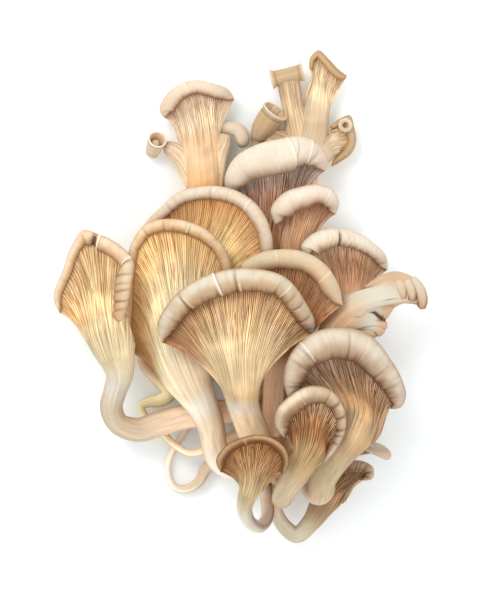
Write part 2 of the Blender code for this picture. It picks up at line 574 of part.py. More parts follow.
def tube_mesh(lobe):
    """Closed mesh of an arm, or of a tube with a hollow in each end."""
    rings, along, r = tube_rings(lobe, ring_places(lobe))
    middles = rings.mean(axis=1, keepdims=True)
    wall = lobe.get("wall", BORE_WALL)
    if lobe["bore"] > 0:
        ends = []
        for k, inward in ((0, -1), (-1, 1)):
            deepest = middles[k] + along[k] * inward * lobe["bore"]
            inner = (rings[k] - middles[k]) * (1 - wall / r[k])
            ends.append((middles[k] + inner, deepest + inner * 0.6))
        rings = np.concatenate([[ends[0][1], ends[0][0]], rings, [ends[1][0], ends[1][1]]])
    return rings.reshape(-1, 3), ring_faces(len(rings), rings.shape[1])


def new_object(name, points, faces, collection):
    """Mesh object from points in millimetres, laid on the table where it would sink into it."""
    points = np.asarray(points) * MM
    points[:, 2] = np.maximum(points[:, 2], 0.0)
    mesh = bpy.data.meshes.new(name)
    mesh.from_pydata(points.tolist(), [], faces)
    work = bmesh.new()
    work.from_mesh(mesh)
    bmesh.ops.triangulate(work, faces=work.faces[:], quad_method="SHORT_EDGE", ngon_method="BEAUTY")
    bmesh.ops.remove_doubles(work, verts=work.verts[:], dist=0.00002)
    bmesh.ops.dissolve_degenerate(work, edges=work.edges[:], dist=0.00002)
    bmesh.ops.recalc_face_normals(work, faces=work.faces[:])
    work.to_mesh(mesh)
    work.free()
    obj = bpy.data.objects.new(name, mesh)
    collection.objects.link(obj)
    return obj


def new_material(name, colour):
    """Matte flesh of one colour."""
    material = bpy.data.materials.new(name)
    material.use_nodes = True
    shader = material.node_tree.nodes["Principled BSDF"]
    shader.inputs["Base Color"].default_value = (*colour, 1.0)
    shader.inputs["Roughness"].default_value = 0.75
    return material


def apply_modifiers(obj):
    """Replaces an object's mesh with the mesh its modifiers make, and removes them."""
    depsgraph = bpy.context.evaluated_depsgraph_get()
    mesh = bpy.data.meshes.new_from_object(obj.evaluated_get(depsgraph))
    obj.modifiers.clear()
    obj.data = mesh


def drop(objects):
    """Removes helper objects and their meshes."""
    for obj in list(objects):
        mesh = obj.data
        bpy.data.objects.remove(obj)
        bpy.data.meshes.remove(mesh)


def boolean(obj, operation, helpers, solver):
    """Joins a collection of helpers to the object, or cuts them out of it."""
    modifier = obj.modifiers.new("Boolean", "BOOLEAN")
    modifier.operation = operation
    modifier.operand_type = "COLLECTION"
    modifier.collection = helpers
    modifier.solver = solver
    apply_modifiers(obj)
    drop(helpers.objects)


def keep_outer_shell(obj):
    """Drops the sealed pockets that a Boolean leaves, and splits its faces into triangles."""
    work = bmesh.new()
    work.from_mesh(obj.data)
    shells, left = [], set(work.faces)
    while left:
        shell, front = set(), [left.pop()]
        while front:
            face = front.pop()
            shell.add(face)
            for edge in face.edges:
                for other in edge.link_faces:
                    if other in left:
                        left.remove(other)
                        front.append(other)
        shells.append(shell)
    outer = max(shells, key=lambda shell: sum(face.calc_area() for face in shell))
    bmesh.ops.delete(work, geom=[f for f in work.faces if f not in outer], context="FACES")
    bmesh.ops.triangulate(work, faces=work.faces[:])
    work.to_mesh(obj.data)
    work.free()


# ---------------------------------------------------------------- pieces

def add_mushroom(name, lobes, collection, helpers):
    """One mushroom: its main lobe, with its other lobes joined to it."""
    obj = new_object(name, *lobe_mesh(lobes[0]), collection)
    for number, lobe in enumerate(lobes[1:]):
        make = lobe_mesh if "rim" in lobe else tube_mesh
        new_object(name + "_lobe_" + str(number), *make(lobe), helpers)
    if len(lobes) > 1:
        boolean(obj, "UNION", helpers, "MANIFOLD")
        keep_outer_shell(obj)
    obj.data.materials.clear()
    obj.data.materials.append(new_material(name, COLOURS[name]))
    return obj


def add_socket_cutter(name, lobe, helpers):
    """Stem's end grown by the socket's clearance, to be cut out of the clump."""
    places = ring_places(lobe)
    reach = spline(lobe["stem"], places)[:, :3]
    near = np.linalg.norm(reach - reach[0], axis=1) < SOCKET_REACH
    places = places[:max(3, int(near.sum()) + 1)]
    rings, along, r = tube_rings(lobe, places, SOCKET_GAP * 1.15)
    rings[0] += along[0] * SOCKET_GAP
    faces = ring_faces(len(rings), rings.shape[1])
    return new_object("socket_" + name, rings.reshape(-1, 3), faces, helpers)


def add_clump(collection, helpers):
    """The clump of fused flesh that the stems grow from, cut flat where it was sliced off."""
    template = bmesh.new()
    bmesh.ops.create_icosphere(template, subdivisions=3, radius=1.0)
    ball = np.array([v.co[:] for v in template.verts])
    triangles = [tuple(v.index for v in f.verts) for f in template.faces]
    template.free()
    points, faces = [], []
    for middle, radii in CLUMP_LUMPS:
        start = len(points)
        points += list(ball * radii + middle)
        faces += [tuple(start + i for i in t) for t in triangles]
    points = np.asarray(points) * MM
    mesh = bpy.data.meshes.new("clump")
    mesh.from_pydata(points.tolist(), [], faces)
    clump = bpy.data.objects.new("clump", mesh)
    collection.objects.link(clump)
    remesh = clump.modifiers.new("Remesh", "REMESH")
    remesh.mode = "VOXEL"
    remesh.voxel_size = CLUMP_VOXEL * MM
    relax = clump.modifiers.new("Smooth", "SMOOTH")
    relax.iterations = 3
    apply_modifiers(clump)
    fewer = clump.modifiers.new("Decimate", "DECIMATE")
    fewer.ratio = CLUMP_FACETS / sum(len(p.vertices) - 2 for p in clump.data.polygons)
    apply_modifiers(clump)

    work = bmesh.new()
    work.from_mesh(clump.data)
    everything = work.verts[:] + work.edges[:] + work.faces[:]
    bmesh.ops.bisect_plane(work, geom=everything, plane_co=(0, 0, 0), plane_no=(0, 0, 1), clear_inner=True)
    bmesh.ops.holes_fill(work, edges=[e for e in work.edges if e.is_boundary])
    work.to_mesh(clump.data)
    work.free()

    for name, lobes in MUSHROOMS.items():
        add_socket_cutter(name, lobes[0], helpers)
    boolean(clump, "DIFFERENCE", helpers, "MANIFOLD")
    keep_outer_shell(clump)
    clump.data.materials.clear()
    clump.data.materials.append(new_material("clump", CLUMP_COLOUR))
    return clump


def main():
    for obj in list(bpy.data.objects):
        bpy.data.objects.remove(obj)
    cluster = bpy.data.collections.new("oyster_mushroom_cluster")
    helpers = bpy.data.collections.new("helpers")
    bpy.context.scene.collection.children.link(cluster)
    bpy.context.scene.collection.children.link(helpers)
    for name, lobes in MUSHROOMS.items():
        add_mushroom(name, lobes, cluster, helpers)
    add_clump(cluster, helpers)
    bpy.data.collections.remove(helpers)


main()
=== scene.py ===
"""Oyster mushroom cluster: the finished surfaces that stand over the packed solids.

Each mushroom is a loft of flesh whose upper side carries gills and whose margin rolls over
them. The gills are cut in by a Geometry Nodes tree, and every surface has a material built
from shared node groups. Lengths in the tables are millimetres, and angles are degrees.
"""

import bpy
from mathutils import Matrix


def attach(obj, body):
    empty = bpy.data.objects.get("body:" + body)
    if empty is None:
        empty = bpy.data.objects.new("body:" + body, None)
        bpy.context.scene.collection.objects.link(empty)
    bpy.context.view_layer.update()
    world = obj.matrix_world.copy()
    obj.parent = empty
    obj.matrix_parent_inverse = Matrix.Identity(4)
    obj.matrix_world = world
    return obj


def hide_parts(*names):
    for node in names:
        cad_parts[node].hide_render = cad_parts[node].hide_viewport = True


bl_info = {
    "name": "Oyster Mushroom Cluster",
    "version": (1, 0, 0),
    "blender": (4, 5, 0),
    "location": "View3D > Sidebar > Mushrooms",
    "description": "Builds a cluster of oyster mushrooms over its packed solids",
    "category": "Object",
}

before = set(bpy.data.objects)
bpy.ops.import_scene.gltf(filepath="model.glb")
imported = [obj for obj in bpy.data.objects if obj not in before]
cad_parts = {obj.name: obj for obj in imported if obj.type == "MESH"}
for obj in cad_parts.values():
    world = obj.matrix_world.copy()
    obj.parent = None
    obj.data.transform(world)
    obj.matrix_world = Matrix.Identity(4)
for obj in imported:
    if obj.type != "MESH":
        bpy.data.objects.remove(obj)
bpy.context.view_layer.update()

from math import pi, radians

import bpy
import bmesh
import numpy as np
from bpy.props import FloatProperty, FloatVectorProperty, IntProperty, PointerProperty
from mathutils import Vector

MM = 0.001

# Flesh and margin
SHEET_THICKNESS = 3.6       # flesh of a full-grown cap at its margin
LIP_THICKNESS = 1.7         # edge of the margin where the roll ends
SOFT_END = 0.03             # share of the rim over which the roll rounds off at its two ends

# Fineness of the surfaces
GILL_STEPS = 6              # columns to a gill
STEM_STEPS = 32             # facets round half a stem
RING_STEP = 1.1             # length of one ring of a stem
ROLL_ROWS = 24              # rows round the outside of the roll
LIP_ROWS = 4                # rows round the roll's lip
INNER_ROWS = 9              # rows round the inside of the roll
ARM_GILLS = 12              # gills across an arm of a cap
TUBE_SIDES = 64             # facets round a tube
TUBE_STEP = 0.5             # length of one ring of an open tube
CURL_STEP = 0.25            # length of one ring of a closed one
ARM_STEP = 0.9              # length of one ring of an arm
LOBE_SHARE = 0.6            # gills and columns of a cap's further lobes, as a share of the first's

# Folds and nicks of the rolled margin
FOLD_RANGE = 110            # degrees of roll over which a fold comes to its full depth
FOLD_NARROW = 0.78          # share of a fold's depth that is as narrow as its table says
FOLD_BROAD = 3              # times as wide is the rest
DEEPEST_FOLD = 0.45         # share of the roll's radius that a fold can take
SPLIT_WIDTH = 0.42          # half width of a pale split
NICK_SPACING = 7.0          # distance between small nicks along the lip

# Floor, light and camera, in metres
FLOOR_REACH = 3.0           # half the floor's width
FLOOR_MIDDLE = (0, 0.06, -0.0002)
AIM_HEIGHT = 0.02           # height that the lamps look at
KEY_LAMP = dict(place=(-0.55, 0.75, 1.1), size=0.7, colour=(1.0, 0.985, 0.96))
FILL_LAMP = dict(place=(0.8, -0.3, 0.9), size=0.9, colour=(1.0, 1.0, 1.0))
LENS, SENSOR = 300.0, 36.0  # focal length and width, in millimetres
CAMERA_REACH = (0.1, 20.0)  # nearest and furthest that the camera sees

# Each mushroom is a list of lobes. A rim runs from left to right as seen from the gills, and
# a stem runs from the neck to the root. Their points are (x, y, z, radius) in millimetres:
# the rim's radius is that of the roll, and the rim's point is the outermost of the roll.
# cup: depth of the hollow of the gills. turn: degrees that the margin rolls.
# flat: depth of the neck as a share of its width, on an arm of its whole length.
# fanout: how far the gills spread at the neck. wall: thickness round a tube's hollow ends.
# closed: shares of a tube's length over which its two ends round off, in place of hollows.
# face: side that the gills look to. A lobe without a rim is an arm or a tube along its points,
# and bore is the depth of the hollow at each end of a tube.
MUSHROOMS = {
    # The largest cap, in front of the middle of the cluster.
    "cap_front_large": [
        dict(
            rim=[(-47, 44, 43, 1.6), (-49, 50.5, 43, 3.8), (-43.5, 62.5, 43, 5),
                 (-28.5, 73.5, 45, 5.7), (-8, 77, 47, 5.6), (7.5, 73, 48, 5),
                 (16.5, 62, 46, 4.3), (20.5, 53, 43, 3.3), (19.5, 47.5, 41, 1.4)],
            stem=[(-12, 23.5, 50, 8.2), (-11, 16.5, 47, 7), (-9, 10.5, 43.5, 6.9), (-6.5, 4, 39, 6.9),
                  (-3.5, -3, 33, 6.4), (-2, -10, 27, 5.6)],
            cup=4, gills=28, turn=250),
    ],
    # A small cap at the bottom, whose stem turns back up in a loop.
    "cap_front_small": [
        dict(
            rim=[(-21, -12.5, 62, 0.9), (-23, -7.5, 62, 2.1), (-19.5, -1.5, 62, 2.2),
                 (-12.5, 2.5, 62, 2), (-5.5, 4, 62, 1.9), (2, 2.5, 62, 2), (7.5, -2, 62, 2.1),
                 (9, -8, 62, 1.7), (6, -13.5, 62, 0.8)],
            stem=[(-8.5, -21, 57, 4.6), (-10.5, -28.5, 50, 3.4), (-8.5, -35, 42, 3.1),
                  (-4, -37.5, 34, 2.9), (-0.5, -33.5, 26, 2.9), (-0.5, -26, 21, 3), (-1.5, -20, 18, 3),
                  (-1.5, -13.5, 16, 3)],
            cup=3, gills=18, turn=250),
    ],
    # A small upright cap leaning on the large one at the right.
    "cap_right_small": [
        dict(
            rim=[(7, 2.5, 53, 1.6), (3, 7, 53, 3.1), (3, 14, 54, 4.1), (8.5, 20.5, 56, 4.4),
                 (18.5, 25.5, 57, 4.2), (27.5, 23.5, 57, 3.8), (33, 16, 56, 3),
                 (34, 6.5, 55, 2.4), (30, -2.5, 54, 1.9), (24, -9, 53, 0.9)],
            stem=[(16, -7, 54, 6.2), (11, -15.5, 49, 5.6), (7, -22, 43, 4.9), (6, -25, 36, 4.5),
                  (7, -23, 29, 4.3), (8, -18, 25, 4.1)],
            cup=4, gills=18, turn=250),
    ],
    # The broad cap at the lower right, on a thick bent stem.
    "cap_right_large": [
        dict(
            rim=[(9, 19, 50, 1.8), (6.5, 27, 51, 4.4), (9, 38, 51, 5.8), (17.5, 47.5, 49, 7),
                 (30, 51, 45, 7.4), (44, 48, 41, 7.2), (54, 37, 38, 6.2), (59.5, 27, 36, 5),
                 (61, 20.5, 35, 4.2), (58.8, 15.5, 34.5, 3), (54.5, 14.6, 34, 1.5)],
            stem=[(35.5, 2.5, 42, 9.4), (31, -4.5, 40.5, 7.4), (27, -11, 38.5, 6.4),
                  (24, -16.5, 36, 6.1), (23.5, -21.5, 31, 5.9), (21.5, -22.5, 25, 5.5),
                  (18.5, -18.5, 21, 5.2), (15.5, -13.5, 18, 5)],
            cup=6, gills=24, turn=250),
    ],
    # The broad pale cap left of the middle, on the long thick stem.
    "cap_left_large": [
        dict(
            rim=[(-59.5, 38.5, 19.5, 0.8), (-62.5, 47.5, 20, 1), (-63, 61, 21, 1.5),
                 (-63, 75.5, 22.5, 2), (-61, 88, 24, 2.4), (-55, 96.5, 25, 2.9),
                 (-40.5, 99, 26, 3.1), (-27.5, 94.5, 28, 3), (-20, 87, 29, 2.8),
                 (-16.5, 79, 30, 2.6), (-17, 70, 31, 1.2)],
            stem=[(-32.5, 22.5, 31, 8.8), (-29, 15.5, 31, 7), (-25.5, 7, 30, 6.2),
                  (-24, -2, 27.5, 5.8), (-21.5, -8.5, 24, 5.6), (-16.5, -11.5, 21.5, 5.4),
                  (-11, -10, 19, 5.2), (-7, -8, 18, 5)],
            cup=1.5, gills=26, turn=250, flat=0.7, fanout=0.4),
    ],
    # The angular cap at the far left; its stem turns and runs along the bottom.
    "cap_far_left": [
        dict(
            rim=[(-93, 57, 22, 0.9), (-95.5, 63, 22, 1.7), (-91.5, 76.5, 21, 2.2),
                 (-87.5, 87.5, 20, 2.4), (-83, 94, 20, 3.2), (-74.5, 92, 22, 3.5),
                 (-65, 86.5, 26, 3.3), (-59.5, 80, 31, 3.6), (-60.5, 70, 33, 4.2),
                 (-62, 61, 33, 3.6), (-63.5, 53, 32, 2.4), (-62.5, 47, 31, 1.2)],
            stem=[(-67.5, 38.5, 32, 8.6), (-66, 30.5, 28, 6.3), (-68.5, 21.5, 22, 5.2),
                  (-70, 15, 19.5, 5.1), (-67, 8, 17, 4.9), (-58.5, 5, 15.5, 5.4), (-48, 8, 15, 5.7),
                  (-36.5, 11, 15, 5.7), (-24, 13, 16, 5.4), (-10, 13.5, 17, 4.8)],
            cup=3, gills=20, turn=250, flat=0.6),
    ],
    # A wide cap behind the broad pale one.
    "cap_back_left": [
        dict(
            rim=[(-56.5, 91, 16, 1.2), (-55, 97, 16, 2.3), (-48.5, 104, 16, 2.6),
                 (-40.5, 111, 17, 3), (-28.5, 114, 18, 3.2), (-14.5, 112, 21, 3.3),
                 (-4.5, 105, 24, 3.4), (1, 94.5, 27, 3.3), (2, 85.5, 28, 2.9),
                 (0, 78.5, 28, 1.2)],
            stem=[(-28, 63, 16.5, 6.8), (-23.5, 53, 17, 5.2), (-18, 46, 17.5, 4.8),
                  (-13.5, 40.5, 17, 4.6)],
            cup=3, gills=26, turn=250, flat=0.8),
    ],
    # A cap with a heavy rolled margin near the top.
    "cap_back_centre": [
        dict(
            rim=[(-18.5, 110.5, 13, 2.2), (-19.5, 117, 15, 4.8), (-14.5, 127, 18.5, 6.8),
                 (-6, 132, 21, 7.8), (5.5, 135, 21.5, 8.1), (15.5, 136, 21.5, 7.6),
                 (22.5, 132.5, 21, 6.2), (26.5, 126.5, 20, 4.6), (25.5, 120.5, 19, 2)],
            stem=[(-1, 83, 11, 6.4), (-3, 70, 10.5, 5.2), (-5, 57.5, 10.5, 4.6), (-4.5, 45, 10.5, 4.4)],
            cup=0.5, gills=20, turn=250, flat=0.6),
    ],
    # A small cap right of the last one.
    "cap_upper_right": [
        dict(
            rim=[(3, 96.5, 24, 1.8), (1, 103, 25, 4.2), (6.5, 110.5, 25.5, 5.6),
                 (14.5, 113.5, 26, 5.1), (22.5, 114.5, 26, 4.6), (28.5, 112, 25, 4.1),
                 (31.5, 106.5, 24, 3.4), (30, 101, 23, 1.5)],
            stem=[(11, 84.5, 18, 6.2), (8.5, 70, 16.5, 5), (5, 54, 16.5, 4.6), (1, 40.5, 17, 4.4)],
            cup=1, gills=16, turn=250, flat=0.75),
    ],
    # A cap at the right whose margin drops away.
    "cap_mid_right": [
        dict(
            rim=[(16.5, 82, 31, 1.8), (14.5, 86.5, 31, 4.2), (19, 92, 30, 5),
                 (28.5, 95, 28, 4.5), (38, 93.5, 24, 3.8), (47, 88.5, 19, 3.3),
                 (53, 82, 15, 2.8), (53.5, 76.5, 14, 1.5)],
            stem=[(33.5, 58.5, 15, 6), (29, 43, 12, 5), (20.5, 28, 11, 4.6), (11, 20, 11, 4.4)],
            cup=3, gills=18, turn=250),
    ],
    # A cap just behind the largest one.
    "cap_centre_right": [
        dict(
            rim=[(-11.5, 72.5, 35, 1.6), (-12, 78, 35, 3.4), (-6, 83, 35.5, 4.2),
                 (4.5, 85.5, 35.5, 4.4), (15.5, 84.5, 36, 4.3), (25.5, 78.5, 37, 4.3),
                 (31.5, 68.5, 38, 3.9), (33, 60.5, 39, 1.6)],
            stem=[(7, 43, 31, 7), (3, 29, 31, 4.9), (2, 16, 29, 4.6), (2, 4.5, 25, 4.4),
                  (2, -3.5, 20, 4.2)],
            cup=3, gills=20, turn=250),
    ],
    # The top left mushroom, resting on the surface; two short arms curl at its sides.
    "cap_top_left": [
        dict(
            rim=[(-46.5, 144.5, 8.5, 1.6), (-48.5, 147.5, 8.5, 3.2), (-46, 154.5, 8.5, 3.7),
                 (-40, 159.5, 8.5, 3.4), (-32, 161.5, 8.5, 3.3), (-24.5, 160, 8.5, 3.4),
                 (-18, 157.5, 8.5, 3.1), (-15, 153, 8.5, 1.4)],
            stem=[(-30, 130.5, 7.5, 9), (-29, 119, 7.5, 8.8), (-28, 108, 7, 7.2), (-28, 85.5, 5.2, 4.6),
                  (-26, 63, 5.2, 4.5), (-20, 43, 6, 4.5)],
            cup=1.5, gills=16, turn=250, flat=0.7, fanout=0.0),
        # the arm at the left
        dict(
            stem=[(-27.5, 111, 8.3, 6.4), (-34, 120.5, 8.6, 5.6), (-38.5, 126.5, 8.6, 4.6),
                  (-42.5, 130.3, 8.3, 3.6), (-47, 131.5, 7.4, 2.8)],
            flat=0.6, bore=0),
        # its end, curled into a ring
        dict(
            stem=[(-52, 129.3, 3.4, 3), (-51.2, 131.3, 6.5, 3.6), (-50.2, 133.3, 9.6, 4),
                  (-49.5, 134.8, 12, 4.1)],
            bore=5),
        # the arm at the right
        dict(
            stem=[(-26.5, 111, 8.3, 6.6), (-24.3, 121, 8.6, 5.3), (-22.5, 128, 8.6, 4.3),
                  (-20.3, 133.5, 8.6, 3.7), (-19, 138, 8.6, 2.9)],
            flat=0.65, bore=0),
        # its margin, curled over
        dict(
            stem=[(-21, 137.6, 8.6, 2.2), (-17, 140.2, 8.8, 2.9), (-12.8, 138.6, 9, 3.2),
                  (-11.4, 134.8, 9, 3.1), (-13.3, 132, 8.6, 2.5)],
            bore=3, closed=(0.3, 0.14)),
    ],
    # The top right mushroom, resting on the surface, split into four lobes.
    "cap_top_right": [
        dict(
            rim=[(18.5, 166.5, 8.5, 1), (19.2, 172.3, 8.5, 1.4), (22.5, 175, 8.5, 1.8), (27.3, 171, 9, 2.1),
                 (31.5, 166.5, 9, 2.1), (35.5, 163.5, 9, 1.4)],
            stem=[(21.5, 147.5, 7.5, 6), (19.5, 135, 7.5, 6.8), (16.5, 124, 7, 7), (14.5, 101, 5.4, 5),
                  (11.5, 81, 5.2, 4.6), (8, 61, 5.2, 4.4), (3.5, 43, 5.6, 4.4)],
            cup=1, gills=10, turn=230, flat=0.65, fanout=0.0),
        # the upper lobe
        dict(
            stem=[(15.5, 121.5, 7.8, 5.6), (13.8, 135, 8.2, 5.4), (11.5, 147.5, 8.4, 4.8),
                  (10, 156, 8.6, 5), (9, 163, 8.8, 5)],
            flat=0.55, bore=0),
        # its margin, rolled into a tube
        dict(
            stem=[(1.6, 161.8, 9, 4.2), (4, 162.4, 9, 3.6), (9, 163.6, 9, 3.5), (13, 164.6, 9, 3.7),
                  (15.6, 165.2, 9, 4)],
            bore=3.5),
        # the lobe rolled like a leaf
        dict(
            stem=[(-5.2, 132.2, 7.3, 1.6), (-4.6, 135, 7.5, 3.4), (-2.8, 138.8, 8.2, 4.9),
                  (0.2, 143.5, 9.6, 5.6), (3.2, 147.6, 11.4, 5.9)],
            bore=7),
        # the arm at the left
        dict(
            stem=[(16, 121.5, 7.8, 5.6), (10.5, 129.5, 8.2, 5.8), (4, 134.5, 8, 5.2),
                  (-3, 137, 7.6, 3.4)],
            flat=0.6, bore=0),
        # the low lobe at the right
        dict(
            rim=[(27.5, 141, 8, 1.2), (32.4, 144.5, 8, 1.8), (36.5, 146, 8, 2.3), (38.8, 140, 8, 2.4),
                 (39.6, 133.9, 7.5, 2.4), (37.4, 128.7, 7, 2.2), (33.5, 125.6, 7, 1.8),
                 (28.5, 122.8, 7, 1)],
            stem=[(27, 131.5, 7, 5), (22.5, 127.5, 7, 5.2), (17, 121.5, 7, 5.2)],
            cup=0.5, gills=10, turn=225, flat=0.7, fanout=0),
        # its corner, curled into a ring
        dict(
            stem=[(35.4, 141.9, 6.5, 2.4), (34.9, 141.5, 9, 3), (34.5, 141.2, 11.5, 3.1)],
            bore=2.5, wall=2),
    ],
    # A torn cap at the right that shows its skin, not its gills.
    "cap_right_back_view": [
        dict(
            rim=[(40.5, 46.5, 29.5, 1.2), (45, 46, 30.5, 2), (49.8, 46.8, 31, 2.2), (52.8, 50.6, 31, 2.2),
                 (53.2, 54.8, 31, 2.2), (55.5, 58.6, 31, 2.4), (59.5, 61.3, 31, 2.6), (64, 61.2, 31, 2.6),
                 (68, 60.6, 30.5, 2.8), (70, 65.5, 31, 3.2), (67, 71, 31, 3.3), (62, 74.5, 31, 3.1),
                 (56, 75.7, 31, 2.9), (50, 74, 31, 2.5), (42.5, 69, 30.5, 1.4)],
            stem=[(34.5, 55, 29, 7.4), (28.5, 48, 26.5, 6.6), (25, 37, 24, 5.2), (21, 22.5, 22, 4.6),
                  (17, 10, 20, 4.6)],
            cup=2, gills=16, turn=160, flat=0.8, fanout=0.45, face=(0, 0, -1)),
        # three folds where its margin hangs
        dict(stem=[(57, 72.5, 31.4, 2), (59.3, 66.5, 32.9, 2.5), (59.8, 62.7, 32.8, 2)], bore=0),
        dict(stem=[(60.6, 72.5, 31.6, 1.8), (63.5, 66.5, 33.3, 2.3), (63.8, 62.2, 33.2, 1.9)], bore=0),
        dict(stem=[(64, 72.5, 31.4, 1.8), (67.6, 66.5, 32.7, 2.5), (68.3, 61.8, 32.3, 2.3),
                   (67.5, 58.8, 31.6, 1.6)], bore=0),
    ],
    # A small cap at the lower right on a stem that loops.
    "cap_low_right": [
        dict(
            rim=[(20, -24.5, 11.5, 1), (21.5, -18.5, 12, 1.8), (25.5, -13.5, 14, 2.4),
                 (31, -10.5, 17, 3.2), (37, -8.5, 20, 3.8), (43, -9, 21.5, 3.8), (47, -12, 22, 3.2),
                 (46.5, -16.5, 22, 2.2), (41.5, -17.5, 21, 1)],
            stem=[(23, -30.5, 15, 5.4), (19, -36.5, 14, 4.2), (12.5, -42, 13, 3.7), (7, -38, 12, 3.4),
                  (4, -32.5, 12, 3), (3, -25, 12, 3), (3.5, -18, 12, 3.2), (4, -13.5, 12, 3.2)],
            cup=1.5, gills=14, turn=200),
    ],
    # A thin young cap behind it, seen from its edge.
    "cap_low_right_sprout": [
        dict(
            rim=[(43, -3.5, 28, 0.9), (49.5, -5.5, 29, 1.5), (54.5, -7, 26, 1.9),
                 (54.5, -5.5, 22, 1.9), (49, -2, 19, 1.7), (43, -1.5, 19, 0.9)],
            stem=[(38.5, -3.5, 24, 2.7), (33.5, -3, 23, 2.5), (25.5, -3, 20, 2.5), (16, -3.5, 18, 2.6)],
            cup=0.8, gills=8, turn=180, face=(-0.15, -0.95, -0.25)),
    ],
    # A young mushroom behind the left caps, on a thin winding stem.
    "sprout_left": [
        dict(
            rim=[(-57.5, 53, 4, 1), (-58, 60.5, 4, 1.8), (-53.5, 65.5, 4, 2.2), (-46.5, 66.5, 4, 2.2),
                 (-40.5, 62.5, 4, 2), (-39.5, 55.5, 4, 1)],
            stem=[(-53, 46, 5, 3.4), (-56, 40.5, 5, 2.8), (-56, 35, 5, 2.5), (-52, 29.5, 5, 2.6),
                  (-47, 25, 5, 2.7), (-44.5, 20.5, 5, 3.2), (-48.5, 18, 5, 3), (-54, 17, 5, 2.3),
                  (-57, 15.5, 5, 1.8), (-55.5, 11.5, 5, 1.6), (-51, 7.5, 5.5, 1.6), (-46, 2, 6.5, 1.6),
                  (-41, -2.5, 8, 1.6), (-35, -5.5, 9, 1.6), (-29, -4.5, 10, 1.8),
                  (-20, 0.5, 11.5, 2.2), (-8, 4.5, 12, 2.4)],
            cup=1, gills=10, turn=200),
    ],
    # Another young one, whose thin stem makes a wide loop.
    "sprout_low_left": [
        dict(
            rim=[(-39.5, 32.5, 4, 1), (-42, 39.5, 4, 1.7), (-37, 46, 4, 2.1), (-29.5, 47, 4, 2.1),
                 (-25, 42.5, 4, 1.8), (-25, 35, 4, 1)],
            stem=[(-32, 26, 4.5, 3), (-32.5, 17, 3.5, 2.2), (-35, 8.5, 3, 1.8), (-39, 1.5, 3, 1.6),
                  (-43, -5, 3, 1.6), (-45, -11, 3, 1.6), (-44.5, -17, 3, 1.6), (-42, -21, 3, 1.8),
                  (-37, -22, 3, 2), (-31.5, -19, 4, 2.3), (-27.5, -12.5, 5, 2.6), (-19, -7, 6.5, 3),
                  (-8, -2.5, 7.5, 3)],
            cup=1, gills=10, turn=200),
    ],
}

# Lumps that make the clump: (x, y, z) of the middle and the three radii, in millimetres
CLUMP_LUMPS = [
    ((1, -3, 13), (15, 14, 17)),
    ((-2, -5, 22), (9, 9, 11)),
    ((9, -14, 18), (10, 8, 12)),
    ((13, 6, 13), (10, 12, 14)),
    ((7, 18, 11), (8, 9, 9)),
    ((-6, 12, 13), (9, 9, 11)),
    ((-2, 24, 10), (10, 15, 11)),
    ((-7, 38, 9), (18, 9, 14)),
]

